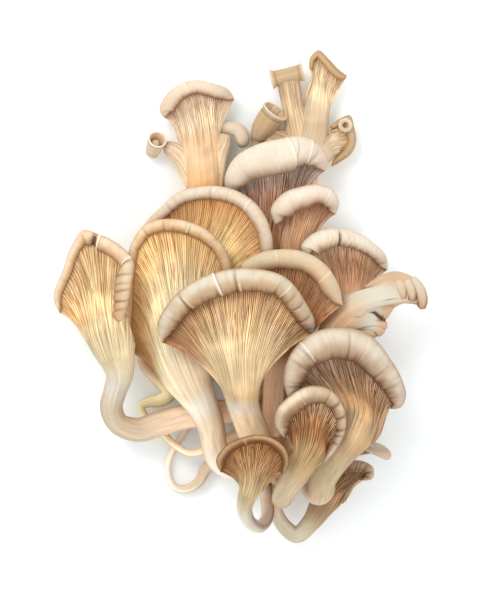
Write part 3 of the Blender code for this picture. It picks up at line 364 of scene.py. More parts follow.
# How each mushroom looks. gills: count across the cap. rows: rows of the gilled side.
# creases: folds across the roll as (share of the rim, depth, half width, lean).
# slits: pale splits across the roll as (share of the rim, lean, first angle, last angle, strength),
# where a lean is how far the line has drifted along the rim at the roll's inner edge.
# painted shade, a pair: how much painted shade darkens the gills at the left and the right end of the fan.
# contrast, painted highlight, wrinkle: strength of the streaks; a painted highlight at (across, along, strength);
# painted light and shade of fine wrinkles on the margin.
# folds_from: roll angle at which the folds begin. tears: torn lines sunk into a cap's skin and filled with painted
# shade, as (share of the rim, bend, where it begins along the sheet, half width, depth). edged, edge_from: how
# strongly and from where along the sheet the skin takes the margin's colour.
# Colours are 8-bit steps of red, green and blue.
LOOKS = {
    "cap_front_large": dict(
        gills=92, rows=48, columns=224, painted_shade=(0.75, 0.25), contrast=1.8, painted_highlight=(0.5, 0.25, 0.5), seed=11,
        creases=[(0.236, 0.7, 0.8, 0), (0.5, 0.6, 0.7, 0), (0.32, 0.25, 1.1, 0), (0.62, 0.2, 1.3, 0),
                 (0.84, 0.6, 0.8, 1), (0.9, 0.5, 0.8, 1), (0.79, 0.4, 0.9, 0), (0.97, 0.5, 0.9, 0),
                 (0.13, 0.35, 1.0, 0), (0.7, 0.35, 0.9, 0.5)],
        slits=[(0.4, 2.6, 25, 250, 1.0), (0.517, 0.8, 185, 245, 0.6), (0.245, 1.5, 150, 240, 0.35),
               (0.751, -1.0, 130, 240, 0.35), (0.845, -1.0, 170, 245, 0.25)],
        neck=(194, 168, 128), middle=(232, 206, 160), margin=(238, 186, 132), line=(140, 94, 58),
        roll=(206, 196, 176), body=(188, 162, 128), shade=(114, 68, 34),
        top=(228, 236, 250), stem=(224, 194, 158), foot=(220, 178, 134), skin=(206, 184, 160)),
    "cap_front_small": dict(
        gills=54, rows=40, columns=128, painted_shade=(0.45, 0.35), contrast=2.4, seed=12,
        creases=[(0.264, 0.15, 0.88, 0), (0.664, 0.15, 0.88, 0), (0.83, 0.15, 0.77, 0)],
        slits=[(0.403, 0.2, 150, 235, 0.2)],
        neck=(188, 164, 124), middle=(186, 148, 102), margin=(202, 144, 88), line=(118, 78, 46),
        roll=(176, 140, 102), body=(116, 74, 36), shade=(92, 58, 32),
        top=(216, 218, 192), stem=(218, 206, 192), foot=(196, 174, 156), skin=(188, 154, 120)),
    "cap_right_small": dict(
        gills=54, rows=40, columns=176, painted_shade=(0.45, 0.45), contrast=2.4, seed=13,
        creases=[(0.346, 0.5, 0.77, 0), (0.45, 0.35, 0.77, 0), (0.531, 0.45, 0.88, 0.6), (0.61, 0.68, 0.88, 0.8),
                 (0.7, 0.94, 0.88, 0.8), (0.775, 0.85, 0.88, 0.6), (0.815, 0.59, 0.77, 0.4), (0.86, 0.59, 0.77, 0),
                 (0.25, 0.2, 1.1, 0)],
        slits=[(0.345, 0.6, 130, 240, 0.35), (0.447, 0.4, 170, 240, 0.2), (0.705, 0.5, 130, 235, 0.2)],
        neck=(170, 140, 96), middle=(172, 120, 74), margin=(244, 206, 158), line=(104, 66, 40),
        roll=(222, 206, 182), body=(166, 134, 102), shade=(112, 74, 48),
        top=(210, 196, 160), stem=(200, 182, 154), foot=(196, 164, 124), skin=(190, 164, 138)),
    "cap_right_large": dict(
        gills=80, rows=44, columns=200, painted_shade=(0.75, 0.35), contrast=2.4, painted_highlight=(0.5, 0.2, 0.45), seed=14,
        creases=[(0.06, 0.4, 0.88, 0), (0.084, 0.3, 0.88, 0), (0.18, 0.45, 0.99, 0), (0.241, 0.4, 1.1, 0),
                 (0.34, 0.15, 1.3, 0), (0.484, 0.45, 0.99, 0), (0.74, 0.45, 0.99, 1.5), (0.834, 0.4, 0.99, 1),
                 (0.9, 0.25, 0.99, 0)],
        slits=[(0.263, -1.5, 90, 225, 0.45), (0.59, 1.2, 110, 230, 0.3), (0.74, 1.0, 150, 235, 0.2)],
        neck=(172, 144, 108), middle=(204, 160, 116), margin=(250, 212, 180), line=(104, 68, 46),
        roll=(208, 196, 178), body=(182, 158, 130), shade=(112, 68, 44),
        top=(198, 168, 144), stem=(188, 166, 130), foot=(212, 190, 166), skin=(178, 144, 110)),
    "cap_left_large": dict(
        gills=88, rows=48, columns=208, painted_shade=(0.95, 0.2), contrast=1.7, painted_highlight=(0.44, 0.76, 0.95), seed=15,
        creases=[(0.59, 0.5, 0.6, 0), (0.696, 0.5, 0.7, 0), (0.63, 0.25, 0.8, 0), (0.812, 0.35, 0.8, 0),
                 (0.899, 0.35, 0.8, 0), (0.5, 0.45, 0.7, 0), (0.42, 0.3, 0.9, 0), (0.75, 0.3, 1.0, 0)],
        slits=[(0.694, -0.8, 120, 235, 0.45), (0.812, -0.4, 150, 235, 0.25), (0.899, -0.5, 130, 235, 0.3)],
        neck=(236, 212, 178), middle=(250, 240, 200), margin=(250, 208, 142), line=(176, 124, 70),
        roll=(218, 192, 160), body=(204, 166, 120), shade=(150, 104, 64),
        top=(228, 244, 250), stem=(220, 198, 168), foot=(230, 214, 202), skin=(214, 184, 148)),
    "cap_far_left": dict(
        gills=58, rows=40, columns=208, painted_shade=(0.2, 0.25), contrast=2.2, painted_highlight=(0.5, 0.5, 0.5), seed=16,
        creases=[(0.367, 0.45, 0.88, 0), (0.455, 2.1, 0.99, 0.5), (0.669, 0.8, 0.88, 0), (0.736, 0.56, 0.66, 0),
                 (0.77, 0.48, 0.55, 0), (0.799, 0.64, 0.66, 0), (0.844, 0.72, 0.66, 0), (0.88, 0.56, 0.66, 0),
                 (0.931, 0.72, 0.77, 0), (0.161, 0.25, 0.88, 0), (0.248, 0.25, 0.99, 0), (0.31, 0.2, 0.88, 0)],
        slits=[(0.468, 0.8, 70, 240, 0.9), (0.655, 0.4, 70, 240, 0.6)],
        neck=(208, 188, 150), middle=(224, 200, 152), margin=(230, 204, 158), line=(184, 124, 68),
        roll=(222, 200, 172), body=(202, 170, 132), shade=(150, 112, 80),
        top=(226, 236, 250), stem=(188, 170, 146), foot=(250, 218, 188), skin=(234, 206, 142)),
    "cap_back_left": dict(
        gills=80, rows=36, columns=192, painted_shade=(0.5, -0.2), painted_highlight=(0.68, 0.7, 0.5), wrinkle=0.7, contrast=1.25, seed=17,
        creases=[(0.369, 0.3, 0.77, 0), (0.445, 0.4, 0.77, 0), (0.545, 0.4, 0.77, 0.4), (0.66, 0.25, 0.77, 0.4),
                 (0.205, 0.35, 0.99, 0), (0.25, 0.25, 0.88, 0), (0.3, 0.2, 0.77, 0)],
        slits=[(0.655, 0.9, 95, 240, 0.55), (0.545, 0.4, 130, 240, 0.35), (0.369, 0.2, 130, 235, 0.3)],
        neck=(230, 196, 132), middle=(250, 226, 168), margin=(234, 178, 120), line=(160, 104, 56),
        roll=(214, 198, 178), body=(210, 190, 166), shade=(158, 120, 84),
        top=(238, 200, 140), stem=(236, 206, 160), foot=(214, 178, 134), skin=(214, 190, 158)),
    "cap_back_centre": dict(
        gills=60, rows=30, columns=176, painted_shade=(0.2, 0.3), contrast=1.7, wrinkle=0.35, seed=18,
        creases=[(0.53, 0.25, 0.88, 0), (0.334, 0.12, 1.5, 0), (0.69, 0.45, 0.88, 3), (0.84, 0.45, 0.88, 3)],
        slits=[(0.53, 0.3, 175, 240, 0.3), (0.6, 6.5, 70, 235, 0.8), (0.76, 6, 70, 235, 0.8)],
        neck=(228, 174, 124), middle=(214, 166, 132), margin=(250, 230, 218), line=(110, 74, 52),
        roll=(222, 208, 192), body=(220, 206, 184), shade=(160, 118, 90),
        top=(190, 150, 116), stem=(196, 160, 126), foot=(190, 152, 116), skin=(214, 188, 164)),
    "cap_upper_right": dict(
        gills=46, rows=32, columns=160, painted_shade=(0.3, 0.2), wrinkle=0.5, seed=19,
        creases=[(0.375, 0.4, 0.88, 0), (0.74, 0.25, 0.99, 1), (0.95, 0.3, 0.88, 0)],
        slits=[(0.385, -0.6, 95, 240, 0.4), (0.74, 1.2, 70, 220, 0.4)],
        neck=(204, 154, 116), middle=(228, 182, 142), margin=(196, 138, 104), line=(134, 90, 64),
        roll=(224, 212, 198), body=(214, 194, 170), shade=(146, 100, 68),
        top=(210, 168, 132), stem=(200, 160, 126), foot=(188, 150, 116), skin=(216, 192, 168)),
    "cap_mid_right": dict(
        gills=58, rows=34, columns=176, painted_shade=(0.3, 0.2), contrast=1.3, seed=20,
        creases=[(0.41, 1.5, 0.6, 0.5), (0.69, 0.25, 0.88, 0.5), (0.93, 0.4, 0.88, 0), (0.3, 0.15, 1.1, 0)],
        slits=[(0.4, 1.2, 95, 240, 0.8), (0.68, 0.6, 130, 240, 0.3)],
        neck=(208, 170, 130), middle=(218, 166, 126), margin=(250, 210, 170), line=(112, 72, 46),
        roll=(222, 210, 190), body=(220, 204, 180), shade=(140, 98, 74),
        top=(200, 160, 124), stem=(194, 156, 122), foot=(186, 148, 114), skin=(212, 188, 162)),
    "cap_centre_right": dict(
        gills=62, rows=34, columns=176, painted_shade=(0.2, 0.1), wrinkle=0.6, contrast=1.3, seed=21,
        creases=[(0.338, 0.2, 0.88, 0), (0.758, 0.2, 0.88, 0), (0.55, 0.12, 1.3, 0)],
        slits=[(0.338, 0.3, 95, 235, 0.2), (0.758, 0.4, 90, 240, 0.35)],
        neck=(160, 116, 84), middle=(192, 134, 92), margin=(212, 170, 126), line=(100, 64, 42),
        roll=(202, 184, 154), body=(200, 178, 144), shade=(166, 126, 92),
        top=(250, 212, 166), stem=(250, 204, 166), foot=(244, 200, 168), skin=(200, 174, 146)),
    "cap_top_left": dict(
        gills=50, rows=40, columns=144, painted_shade=(0.3, 0.3), wrinkle=0.6, contrast=1.4, seed=22,
        creases=[(0.6, 0.12, 1.3, 0), (0.3, 0.12, 1.3, 0), (0.85, 0.2, 0.88, 0)],
        slits=[(0.45, 0.4, 80, 220, 0.3)],
        neck=(214, 180, 142), middle=(232, 214, 182), margin=(236, 214, 188), line=(186, 130, 82),
        roll=(216, 198, 178), body=(212, 194, 168), shade=(126, 58, 24),
        top=(188, 132, 80), stem=(240, 192, 130), foot=(232, 186, 128), skin=(232, 202, 170)),
    "cap_top_right": dict(
        gills=36, rows=36, columns=128, painted_shade=(0.2, 0.2), contrast=1.4, seed=23,
        creases=[(0.5, 0.15, 0.88, 0)], slits=[],
        neck=(202, 180, 150), middle=(250, 222, 180), margin=(232, 206, 170), line=(158, 110, 66),
        roll=(160, 136, 108), body=(192, 164, 130), shade=(172, 130, 78),
        top=(210, 196, 184), stem=(240, 206, 152), foot=(228, 186, 132), skin=(250, 218, 170)),
    "cap_right_back_view": dict(
        gills=40, rows=30, columns=320, painted_shade=(0.2, 0.2), seed=24,
        creases=[(0.236, 1.6, 0.55, 0.4), (0.318, 0.5, 0.8, 0.3), (0.175, 0.5, 0.5, 0), (0.108, 0.8, 0.4, 0.2),
                 (0.66, 0.25, 2.0, 0)], folds_from=-60, slits=[],
        tears=[(0.24, 0.25, 0.37, 0.012, 1.6), (0.108, 0.05, 0.8, 0.006, 0.9)], edged=0.75, edge_from=0.62,
        neck=(206, 166, 128), middle=(170, 122, 88), margin=(140, 96, 66), line=(110, 72, 48),
        roll=(226, 200, 172), body=(196, 156, 118), shade=(104, 68, 46),
        top=(216, 180, 142), stem=(214, 190, 154), foot=(188, 150, 116), skin=(204, 196, 178)),
    "cap_low_right": dict(
        gills=42, rows=32, columns=128, painted_shade=(0.2, 0.2), contrast=1.6, seed=25,
        creases=[(0.55, 0.4, 0.8, 0), (0.64, 0.6, 0.7, 0), (0.73, 0.6, 0.7, 0), (0.82, 0.7, 0.7, 0),
                 (0.9, 0.6, 0.7, 0)],
        slits=[(0.65, 0.3, 70, 220, 0.4)],
        neck=(160, 130, 100), middle=(176, 138, 102), margin=(186, 142, 104), line=(96, 62, 40),
        roll=(206, 184, 152), body=(184, 158, 128), shade=(120, 84, 58),
        top=(220, 198, 156), stem=(200, 194, 172), foot=(206, 178, 154), skin=(188, 156, 120)),
    "cap_low_right_sprout": dict(
        gills=24, rows=24, columns=96, painted_shade=(0.2, 0.2), seed=26,
        creases=[(0.45, 0.6, 0.7, 0), (0.6, 0.6, 0.7, 0), (0.75, 0.7, 0.7, 0), (0.88, 0.6, 0.7, 0)], slits=[],
        neck=(184, 146, 104), middle=(160, 120, 82), margin=(134, 96, 66), line=(84, 54, 36),
        roll=(176, 160, 146), body=(186, 166, 144), shade=(104, 72, 50),
        top=(186, 152, 112), stem=(192, 160, 122), foot=(184, 150, 112), skin=(200, 182, 160)),
    "sprout_left": dict(
        gills=24, rows=24, columns=96, painted_shade=(0.2, 0.2), seed=27,
        creases=[(0.4, 0.15, 0.77, 0)], slits=[],
        neck=(220, 184, 144), middle=(206, 166, 126), margin=(176, 134, 98), line=(120, 82, 54),
        roll=(226, 204, 176), body=(206, 178, 148), shade=(150, 116, 90),
        top=(194, 130, 126), stem=(250, 232, 186), foot=(246, 222, 192), skin=(206, 178, 150)),
    "sprout_low_left": dict(
        gills=24, rows=24, columns=96, painted_shade=(0.2, 0.2), seed=28,
        creases=[(0.6, 0.15, 0.77, 0)], slits=[],
        neck=(226, 196, 156), middle=(212, 174, 134), margin=(184, 144, 108), line=(124, 86, 58),
        roll=(232, 212, 186), body=(212, 186, 156), shade=(156, 122, 94),
        top=(220, 194, 160), stem=(246, 232, 218), foot=(198, 176, 146), skin=(214, 188, 160)),
}


# Colours of each mushroom: the label of the setting and what it colours. roll is the painted highlight on the
# margin's crown; shade is painted shade in the margin's folds, lip and ends, in the skin's folds and along the
# stems' edges; line is painted shade in and beside the gills' gaps; body also paints the shaded side of the stems.
COLOURS = {
    "neck": ("Gills at the stem", "the gills at the stem"),
    "middle": ("Gills", "the gills half way out"),
    "margin": ("Gills at the margin", "the gills under the margin"),
    "line": ("Gap shade", "the painted shade between the gills"),
    "roll": ("Margin highlight", "the painted highlight on the margin"),
    "body": ("Margin", "the rolled margin"),
    "shade": ("Margin shade", "the painted shade in folds and edges"),
    "top": ("Stem top", "the stem at its neck"),
    "stem": ("Stem", "the stem half way down"),
    "foot": ("Stem foot", "the stem at its foot"),
    "skin": ("Skin", "the cap's outer skin"),
}


def paint(red, green, blue):
    """Linear colour of an 8-bit one."""
    return tuple((c / 12.92 if c <= 0.04045 else ((c + 0.055) / 1.055) ** 2.4)
                 for c in (red / 255, green / 255, blue / 255))


# ---------------------------------------------------------------- curves

def unit(vectors):
    """Vectors scaled to length one."""
    return vectors / np.maximum(np.linalg.norm(vectors, axis=-1, keepdims=True), 1e-12)


def smooth(x):
    """Smooth step from 0 to 1."""
    x = np.clip(x, 0, 1)
    return x * x * (3 - 2 * x)


def ripple(seed, x, waves):
    """Seeded waver between about -1 and 1 along x, which runs from 0 to 1."""
    rng = np.random.default_rng(seed)
    total = np.zeros(np.shape(x))
    for k in range(1, waves + 1):
        total = total + rng.uniform(0.4, 1) * np.sin(2 * pi * (k * 0.7 * np.asarray(x) + rng.uniform())) / k**0.4
    return total / waves**0.6


def spline(points, places):
    """Smooth curve through the points, read at shares of its length."""
    p = np.asarray(points, float)
    chord = np.r_[0, np.cumsum(np.linalg.norm(np.diff(p[:, :3], axis=0), axis=1))]
    k = chord / chord[-1]
    step = np.diff(k)[:, None]
    slope = np.diff(p, axis=0) / step
    m = np.empty_like(p)
    m[1:-1] = (slope[1:] * step[:-1] + slope[:-1] * step[1:]) / (step[1:] + step[:-1])
    m[0] = 1.5 * slope[0] - 0.5 * m[1]
    m[-1] = 1.5 * slope[-1] - 0.5 * m[-2]
    t = np.asarray(places, float)
    i = np.clip(np.searchsorted(k, t, side="right") - 1, 0, len(k) - 2)
    h = (k[i + 1] - k[i])[:, None]
    s = (t - k[i])[:, None] / h
    return ((2 * s**3 - 3 * s**2 + 1) * p[i] + (s**3 - 2 * s**2 + s) * h * m[i]
            + (3 * s**2 - 2 * s**3) * p[i + 1] + (s**3 - s**2) * h * m[i + 1])


def stem_curves(lobe):
    """Finely read middle, radius, direction, front and side of the stem, worked out once."""
    if "curves" not in lobe:
        fine = np.linspace(0, 1, 385)
        p = spline(lobe["stem"], fine)
        middle = p[:, :3]
        along = unit(np.gradient(middle, axis=0))
        front = np.empty_like(middle)
        f = unit(np.asarray(lobe.get("face", (0, 0, 1)), float))
        for i, d in enumerate(along):
            f = unit(f - d * (f @ d))
            front[i] = f
        lobe["curves"] = (fine, middle, p[:, 3:4], along, front, np.cross(front, along))
    return lobe["curves"]


def stem_frames(lobe, places):
    """Middle, radius, direction, front and side of the stem at shares of its length."""
    fine, *curves = stem_curves(lobe)
    return [np.stack([np.interp(places, fine, c[:, j]) for j in range(c.shape[1])], 1) for c in curves]


def depth_share(lobe, places):
    """Depth of the stem as a share of its width: flat at the neck, round further down."""
    flat = lobe.get("flat", 1.0)
    if "rim" not in lobe:
        return np.full((len(places), 1), flat)
    return (flat + (1 - flat) * smooth(np.asarray(places) / 0.3))[:, None]


# ---------------------------------------------------------------- cap

def margin(lobe, u):
    """Roll's middle and radius, outward and gill-side axes, the sheet's end and thickness."""
    face = unit(np.asarray(lobe.get("face", (0, 0, 1)), float))
    rim = spline(lobe["rim"], u)
    ahead = spline(lobe["rim"], np.clip(u + 1e-3, 0, 1))[:, :3]
    behind = spline(lobe["rim"], np.clip(u - 1e-3, 0, 1))[:, :3]
    run = unit(ahead - behind)
    point = rim[:, :3]
    near_end = np.clip(np.minimum(u, 1 - u) / SOFT_END, 0, 1)
    soft = np.sqrt(1 - (1 - near_end)**2)[:, None]
    radius = np.maximum(rim[:, 3:4] * (1 + 0.05 * ripple(lobe["seed"], u, 7))[:, None], 0.5)
    radius = np.maximum(radius * soft, 0.3)
    neck = np.asarray(lobe["stem"][0][:3], float)
    away = point - neck
    away = unit(away - face * (away @ face)[:, None])
    out = unit(0.75 * unit(np.cross(face, run)) + 0.25 * away)
    gill_side = unit(np.cross(run, out))
    thickness = np.minimum(SHEET_THICKNESS, 0.85 * radius)
    middle = point - out * radius
    end = middle - gill_side * (radius - thickness / 2)
    return middle, radius, out, gill_side, end, thickness


def sheet(lobe, u, v):
    """Middle surface of the sheet: u from left to right, v from the neck to the margin."""
    face = unit(np.asarray(lobe.get("face", (0, 0, 1)), float))
    _, _, out, _, end, _ = margin(lobe, u)
    c, r, along, _, side = [a[0] for a in stem_frames(lobe, np.array([0.0]))]
    start = c + side * (r[0] * np.cos(pi * (1 - u)))[:, None]
    span = end - start
    length = np.linalg.norm(span, axis=1, keepdims=True)
    straight = unit(span)
    spread = (2 * u - 1)[:, None] * lobe.get("fanout", 0.35)
    rise = unit(-along + side * spread)
    agree = np.clip(np.sum(rise * straight, axis=1, keepdims=True), 0.12, 1)
    near = start + rise * length * 0.38 * agree
    far = end - unit(0.45 * out + 0.55 * straight) * length * 0.3
    v = np.asarray(v, float).reshape(-1, 1)
    bezier = ((1 - v)**3 * start + 3 * (1 - v)**2 * v * near + 3 * (1 - v) * v**2 * far + v**3 * end)
    bow = (1 - (2 * u - 1)**2)[:, None]
    swell = 0.7 * ripple(lobe["seed"] + 40, u * 0.9 + 0.3 * v[:, 0], 5)[:, None] * v**2 * (1 - v) * 4 * bow
    return bezier - face * (lobe["cup"] * 16 * v**2 * (1 - v)**2) * bow + face * swell


def sheet_normal(lobe, u, v):
    """Gill-side normal of the sheet, which starts as the stem's front at the neck."""
    e = 0.004
    across = sheet(lobe, np.clip(u + e, 0, 1), v) - sheet(lobe, np.clip(u - e, 0, 1), v)
    up = sheet(lobe, u, min(v + e, 1)) - sheet(lobe, u, max(v - e, 0))
    front = stem_frames(lobe, np.array([0.0]))[3]
    w = smooth(v / 0.25)
    return unit(front * (1 - w) + unit(np.cross(across, up)) * w)


def half_thickness(lobe, u, v):
    """Half the sheet's thickness: the stem's section at the neck, thin at its two side edges."""
    thickness = margin(lobe, u)[5][:, 0]
    edge = np.sqrt(np.clip(1 - np.abs(2 * u - 1)**5, 0, 1))
    stem = np.sin(pi * u) * lobe["stem"][0][3] * lobe.get("flat", 1.0)
    w = smooth(v / 0.75)
    return (stem * (1 - w) + edge * thickness / 2 * w)[:, None]


def rim_length(lobe):
    """Length along the rim."""
    p = spline(lobe["rim"], np.linspace(0, 1, 200))[:, :3]
    return np.linalg.norm(np.diff(p, axis=0), axis=1).sum()


# ---------------------------------------------------------------- surface

VALUES = ("across", "along", "down", "gilled", "rolled", "turned", "crease", "slit", "relief", "pitch")


class Surface:
    """Rows of points that are joined into one closed mesh."""

    def __init__(self):
        self.points, self.values, self.rises, self.faces = [], [], [], []
        self.count = 0

    def add(self, u, points, rise=None, ends=None, **values):
        """Adds a row and gives its point numbers; ends are numbers to use for its first and last point."""
        n = len(u)
        table = np.zeros((n, len(VALUES)))
        table[:, 0] = u
        for name, value in values.items():
            table[:, VALUES.index(name)] = value
        rise = np.zeros((n, 3)) if rise is None else rise
        keep = np.ones(n, bool)
        ids = np.empty(n, int)
        if ends is not None:
            keep[[0, -1]] = False
            ids[0], ids[-1] = ends
        ids[keep] = self.count + np.arange(keep.sum())
        self.points.append(points[keep])
        self.values.append(table[keep])
        self.rises.append(rise[keep])
        self.count += int(keep.sum())
        return u, ids

    def join(self, row_a, row_b):
        """Faces between two rows that may have different numbers of points."""
        (u_a, a), (u_b, b) = row_a, row_b
        if len(a) == len(b):
            for k in range(len(a) - 1):
                self.face((a[k], a[k + 1], b[k + 1], b[k]))
            return
        i = j = 0
        while i < len(a) - 1 or j < len(b) - 1:
            next_a = u_a[i + 1] + u_a[i] if i < len(a) - 1 else 9
            next_b = u_b[j + 1] + u_b[j] if j < len(b) - 1 else 9
            if next_a <= next_b:
                self.face((a[i], a[i + 1], b[j]))
                i += 1
            else:
                self.face((a[i], b[j + 1], b[j]))
                j += 1

    def face(self, ids):
        """Adds a face, without the points that are shared by its neighbours."""
        kept = [int(k) for n, k in enumerate(ids) if k != ids[n - 1]]
        if len(set(kept)) >= 3:
            self.faces.append(tuple(kept))

    def data(self):
        """Points, values, rises and faces."""
        return np.concatenate(self.points), np.concatenate(self.values), np.concatenate(self.rises), self.faces


def ring_places(lobe, step):
    """Places of the stem's rings, root to neck."""
    p = spline(lobe["stem"], np.linspace(0, 1, 200))[:, :3]
    length = np.linalg.norm(np.diff(p, axis=0), axis=1).sum()
    return np.linspace(1, 0, max(6, int(length / step)))


def stem_rows(lobe, places, angle):
    """Front and back points of the stem's rings, with soft ridges that run along it."""
    c, r, _, front, side = stem_frames(lobe, places)
    share = depth_share(lobe, places)
    drift = 0.5 * ripple(lobe["seed"] + 3, places, 4)[:, None]
    fade = smooth(np.asarray(places) / 0.12)[:, None]

    def ring(sign):
        ridges = (ripple(lobe["seed"] + 7, (angle[None] * sign + drift) / (2 * pi) % 1.0, 16)
                  if sign > 0 else np.zeros((len(places), len(angle))))
        ends = np.sin(angle)[None]
        wide = r * (1 + 0.012 * ridges * ends * fade)
        return (c[:, None] + side[:, None] * (r * np.cos(angle))[:, :, None]
                + sign * front[:, None] * (wide * share * np.sin(angle))[:, :, None])
    return ring(1), ring(-1)


def crease_fields(lobe, u, phi, length):
    """Depth of the folds and strength of the pale splits at rim shares u and roll angles phi."""
    fold = np.zeros(np.broadcast(u, phi).shape)
    split = np.zeros_like(fold)
    inward = smooth((np.degrees(phi) - lobe.get("folds_from", 70)) / FOLD_RANGE)
    seed = lobe["seed"] + 60
    for n, (place, depth, width, lean) in enumerate(lobe.get("creases", ())):
        waver = 0.35 * ripple(seed + n, phi / (2 * pi), 3)
        away = (u - place) * length - lean * (inward - 1) - waver
        groove = (FOLD_NARROW * np.exp(-(away / width)**2)
                  + (1 - FOLD_NARROW) * np.exp(-(away / (FOLD_BROAD * width))**2))
        fold = np.maximum(fold, depth * groove * inward)
    for n, (place, lean, first, last, strength) in enumerate(lobe.get("slits", ())):
        waver = 0.3 * ripple(seed + 20 + n, phi / (2 * pi), 3)
        share = np.clip((np.degrees(phi) - first) / (last - first), 0, 1)
        away = (u - place) * length - lean * share**1.5 - waver
        inside = smooth(share / 0.12) * smooth((1 - share) / 0.08)
        split = np.maximum(split, strength * np.exp(-(away / SPLIT_WIDTH)**2) * inside)
        fold = np.maximum(fold, 0.5 * strength * np.exp(-((away - 0.8) / 0.4)**2) * inside)
    rng = np.random.default_rng(seed + 40)
    for place in np.arange(0.06, 0.96, NICK_SPACING / max(length, 20)):
        place = place + rng.uniform(-0.45, 0.45) * NICK_SPACING / length
        away = (u - place) * length
        near_lip = smooth((np.degrees(phi) - 150) / 90)
        depth, width = rng.uniform(0.05, 0.26), rng.uniform(0.8, 1.6)
        fold = np.maximum(fold, depth * np.exp(-(away / width)**2) * near_lip)
    return fold, split


def cap_surface(lobe):
    """Closed surface of a lobe that has a gilled sheet with a rolled margin."""
    skin = Surface()
    gills = lobe["gills"]
    fine_u = np.linspace(0, 1, GILL_STEPS * gills + 1)
    roll_u = np.linspace(0, 1, lobe["columns"] + 1)
    back_u = np.linspace(0, 1, lobe["columns"] // 2 + 1)
    ring_u = (1 - np.cos(np.linspace(0, pi, STEM_STEPS + 1))) / 2
    angle = pi * (1 - ring_u)
    places = ring_places(lobe, RING_STEP)
    front_points, back_points = stem_rows(lobe, places, angle)
    length = rim_length(lobe)

    front_rows, back_rows = [], []
    for k, place in enumerate(places):
        near = float(smooth(1 - place / 0.3))
        front_rows.append(skin.add(ring_u, front_points[k], down=place, gilled=near))
    for v in np.linspace(0, 1, lobe["rows"])[1:]:
        bend = 0.35 / gills * ripple(lobe["seed"] + 5, fine_u + 0.35 * v, 9) * np.sin(pi * v) * 3
        warped = np.clip(fine_u + bend * np.minimum(1, np.minimum(fine_u, 1 - fine_u) * 12), 0, 1)
        normal = sheet_normal(lobe, warped, v)
        points = sheet(lobe, warped, v) + normal * half_thickness(lobe, warped, v)
        pitch = np.linalg.norm(np.gradient(points, axis=0), axis=1) * GILL_STEPS
        sides = smooth(np.minimum(fine_u, 1 - fine_u) / 0.03)
        relief = float(smooth(v / 0.3)) * (1 - 0.25 * smooth((v - 0.9) / 0.1)) * sides
        front_rows.append(skin.add(fine_u, points, rise=normal, along=v, gilled=1.0,
                                   relief=relief, pitch=pitch * MM))
    for k, place in enumerate(places):
        ids = front_rows[k][1]
        back_rows.append(skin.add(ring_u, back_points[k], down=place, ends=(ids[0], ids[-1])))
    thickness = margin(lobe, back_u)[5]
    for v, front_row in zip(np.linspace(0, 1, lobe["rows"])[1:], front_rows[len(places):]):
        fold = crease_fields(lobe, back_u, 0.0, length)[0] * smooth((v - 0.55) / 0.45)
        for place, bend, first, width, depth in lobe.get("tears", ()):
            line = place + bend * max(0.97 - v, 0)**1.5
            torn = depth * np.exp(-((back_u - line) / width)**2) * float(smooth((v - first) / 0.15))
            fold = np.maximum(fold, torn)
        inset = np.minimum(fold, thickness[:, 0] * 0.4)[:, None]
        points = sheet(lobe, back_u, v) - sheet_normal(lobe, back_u, v) * (half_thickness(lobe, back_u, v) - inset)
        ids = front_row[1]
        back_rows.append(skin.add(back_u, points, along=v, crease=np.clip(fold, 0, 1), ends=(ids[0], ids[-1])))

    middle, radius, out, gill_side, _, thickness = margin(lobe, roll_u)
    turn = radians(lobe["turn"]) * (1 + 0.05 * ripple(lobe["seed"] + 9, roll_u, 9))
    near_end = smooth(np.minimum(roll_u, 1 - roll_u) / 0.05)
    turn = turn * (0.75 + 0.25 * near_end)
    lip = np.minimum(LIP_THICKNESS, 0.7 * radius[:, 0])

    def on_roll(phi, r):
        return middle + (out * np.sin(phi)[:, None] - gill_side * np.cos(phi)[:, None]) * r[:, None]

    shown = 0.0 if lobe.get("face", (0, 0, 1))[2] < 0 else 1.0
    roll_rows = []
    for share in np.linspace(0, 1, ROLL_ROWS + 1)[1:]:
        phi = turn * share
        fold, split = crease_fields(lobe, roll_u, phi, length)
        r = radius[:, 0] - np.minimum(fold, radius[:, 0] * DEEPEST_FOLD) + 0.12 * split
        roll_rows.append(skin.add(roll_u, on_roll(phi, r), along=1.0, rolled=shown * smooth(phi / radians(60)),
                                  turned=share, crease=np.clip(fold, 0, 1), slit=split))
    for share in np.linspace(0, 1, LIP_ROWS + 1)[1:]:
        a = pi * share
        r = radius[:, 0] - np.minimum(fold, radius[:, 0] * DEEPEST_FOLD) - lip / 2 * (1 - np.cos(a))
        phi = turn + np.sin(a) * lip / 2 / radius[:, 0]
        roll_rows.append(skin.add(roll_u, on_roll(phi, r), along=1.0, rolled=shown,
                                  turned=1.0, crease=np.clip(fold, 0, 1), slit=split * (1 - share)))
    for share in np.linspace(1, 0, INNER_ROWS + 1)[1:-1]:
        phi = turn * share
        depth = lip + (thickness[:, 0] - lip) * (1 - smooth(phi / radians(110)))
        r = np.maximum(radius[:, 0] - depth - 0.35 * fold * share, 0.1 * radius[:, 0])
        roll_rows.append(skin.add(roll_u, on_roll(phi, r), along=1.0, gilled=1.0, crease=0.6))

    for a, b in zip(front_rows, front_rows[1:]):
        skin.join(a, b)
    for a, b in zip(back_rows, back_rows[1:]):
        skin.join(b, a)
    chain = [back_rows[-1]] + roll_rows
    for a, b in zip(chain, chain[1:]):
        skin.join(b, a)
    skin.join(front_rows[-1], roll_rows[-1])
    skin.face([row[1][0] for row in chain])
    skin.face([row[1][-1] for row in reversed(chain)])
    root = list(front_rows[0][1][::-1]) + list(back_rows[0][1][1:-1])
    skin.face(root)
    return skin.data()


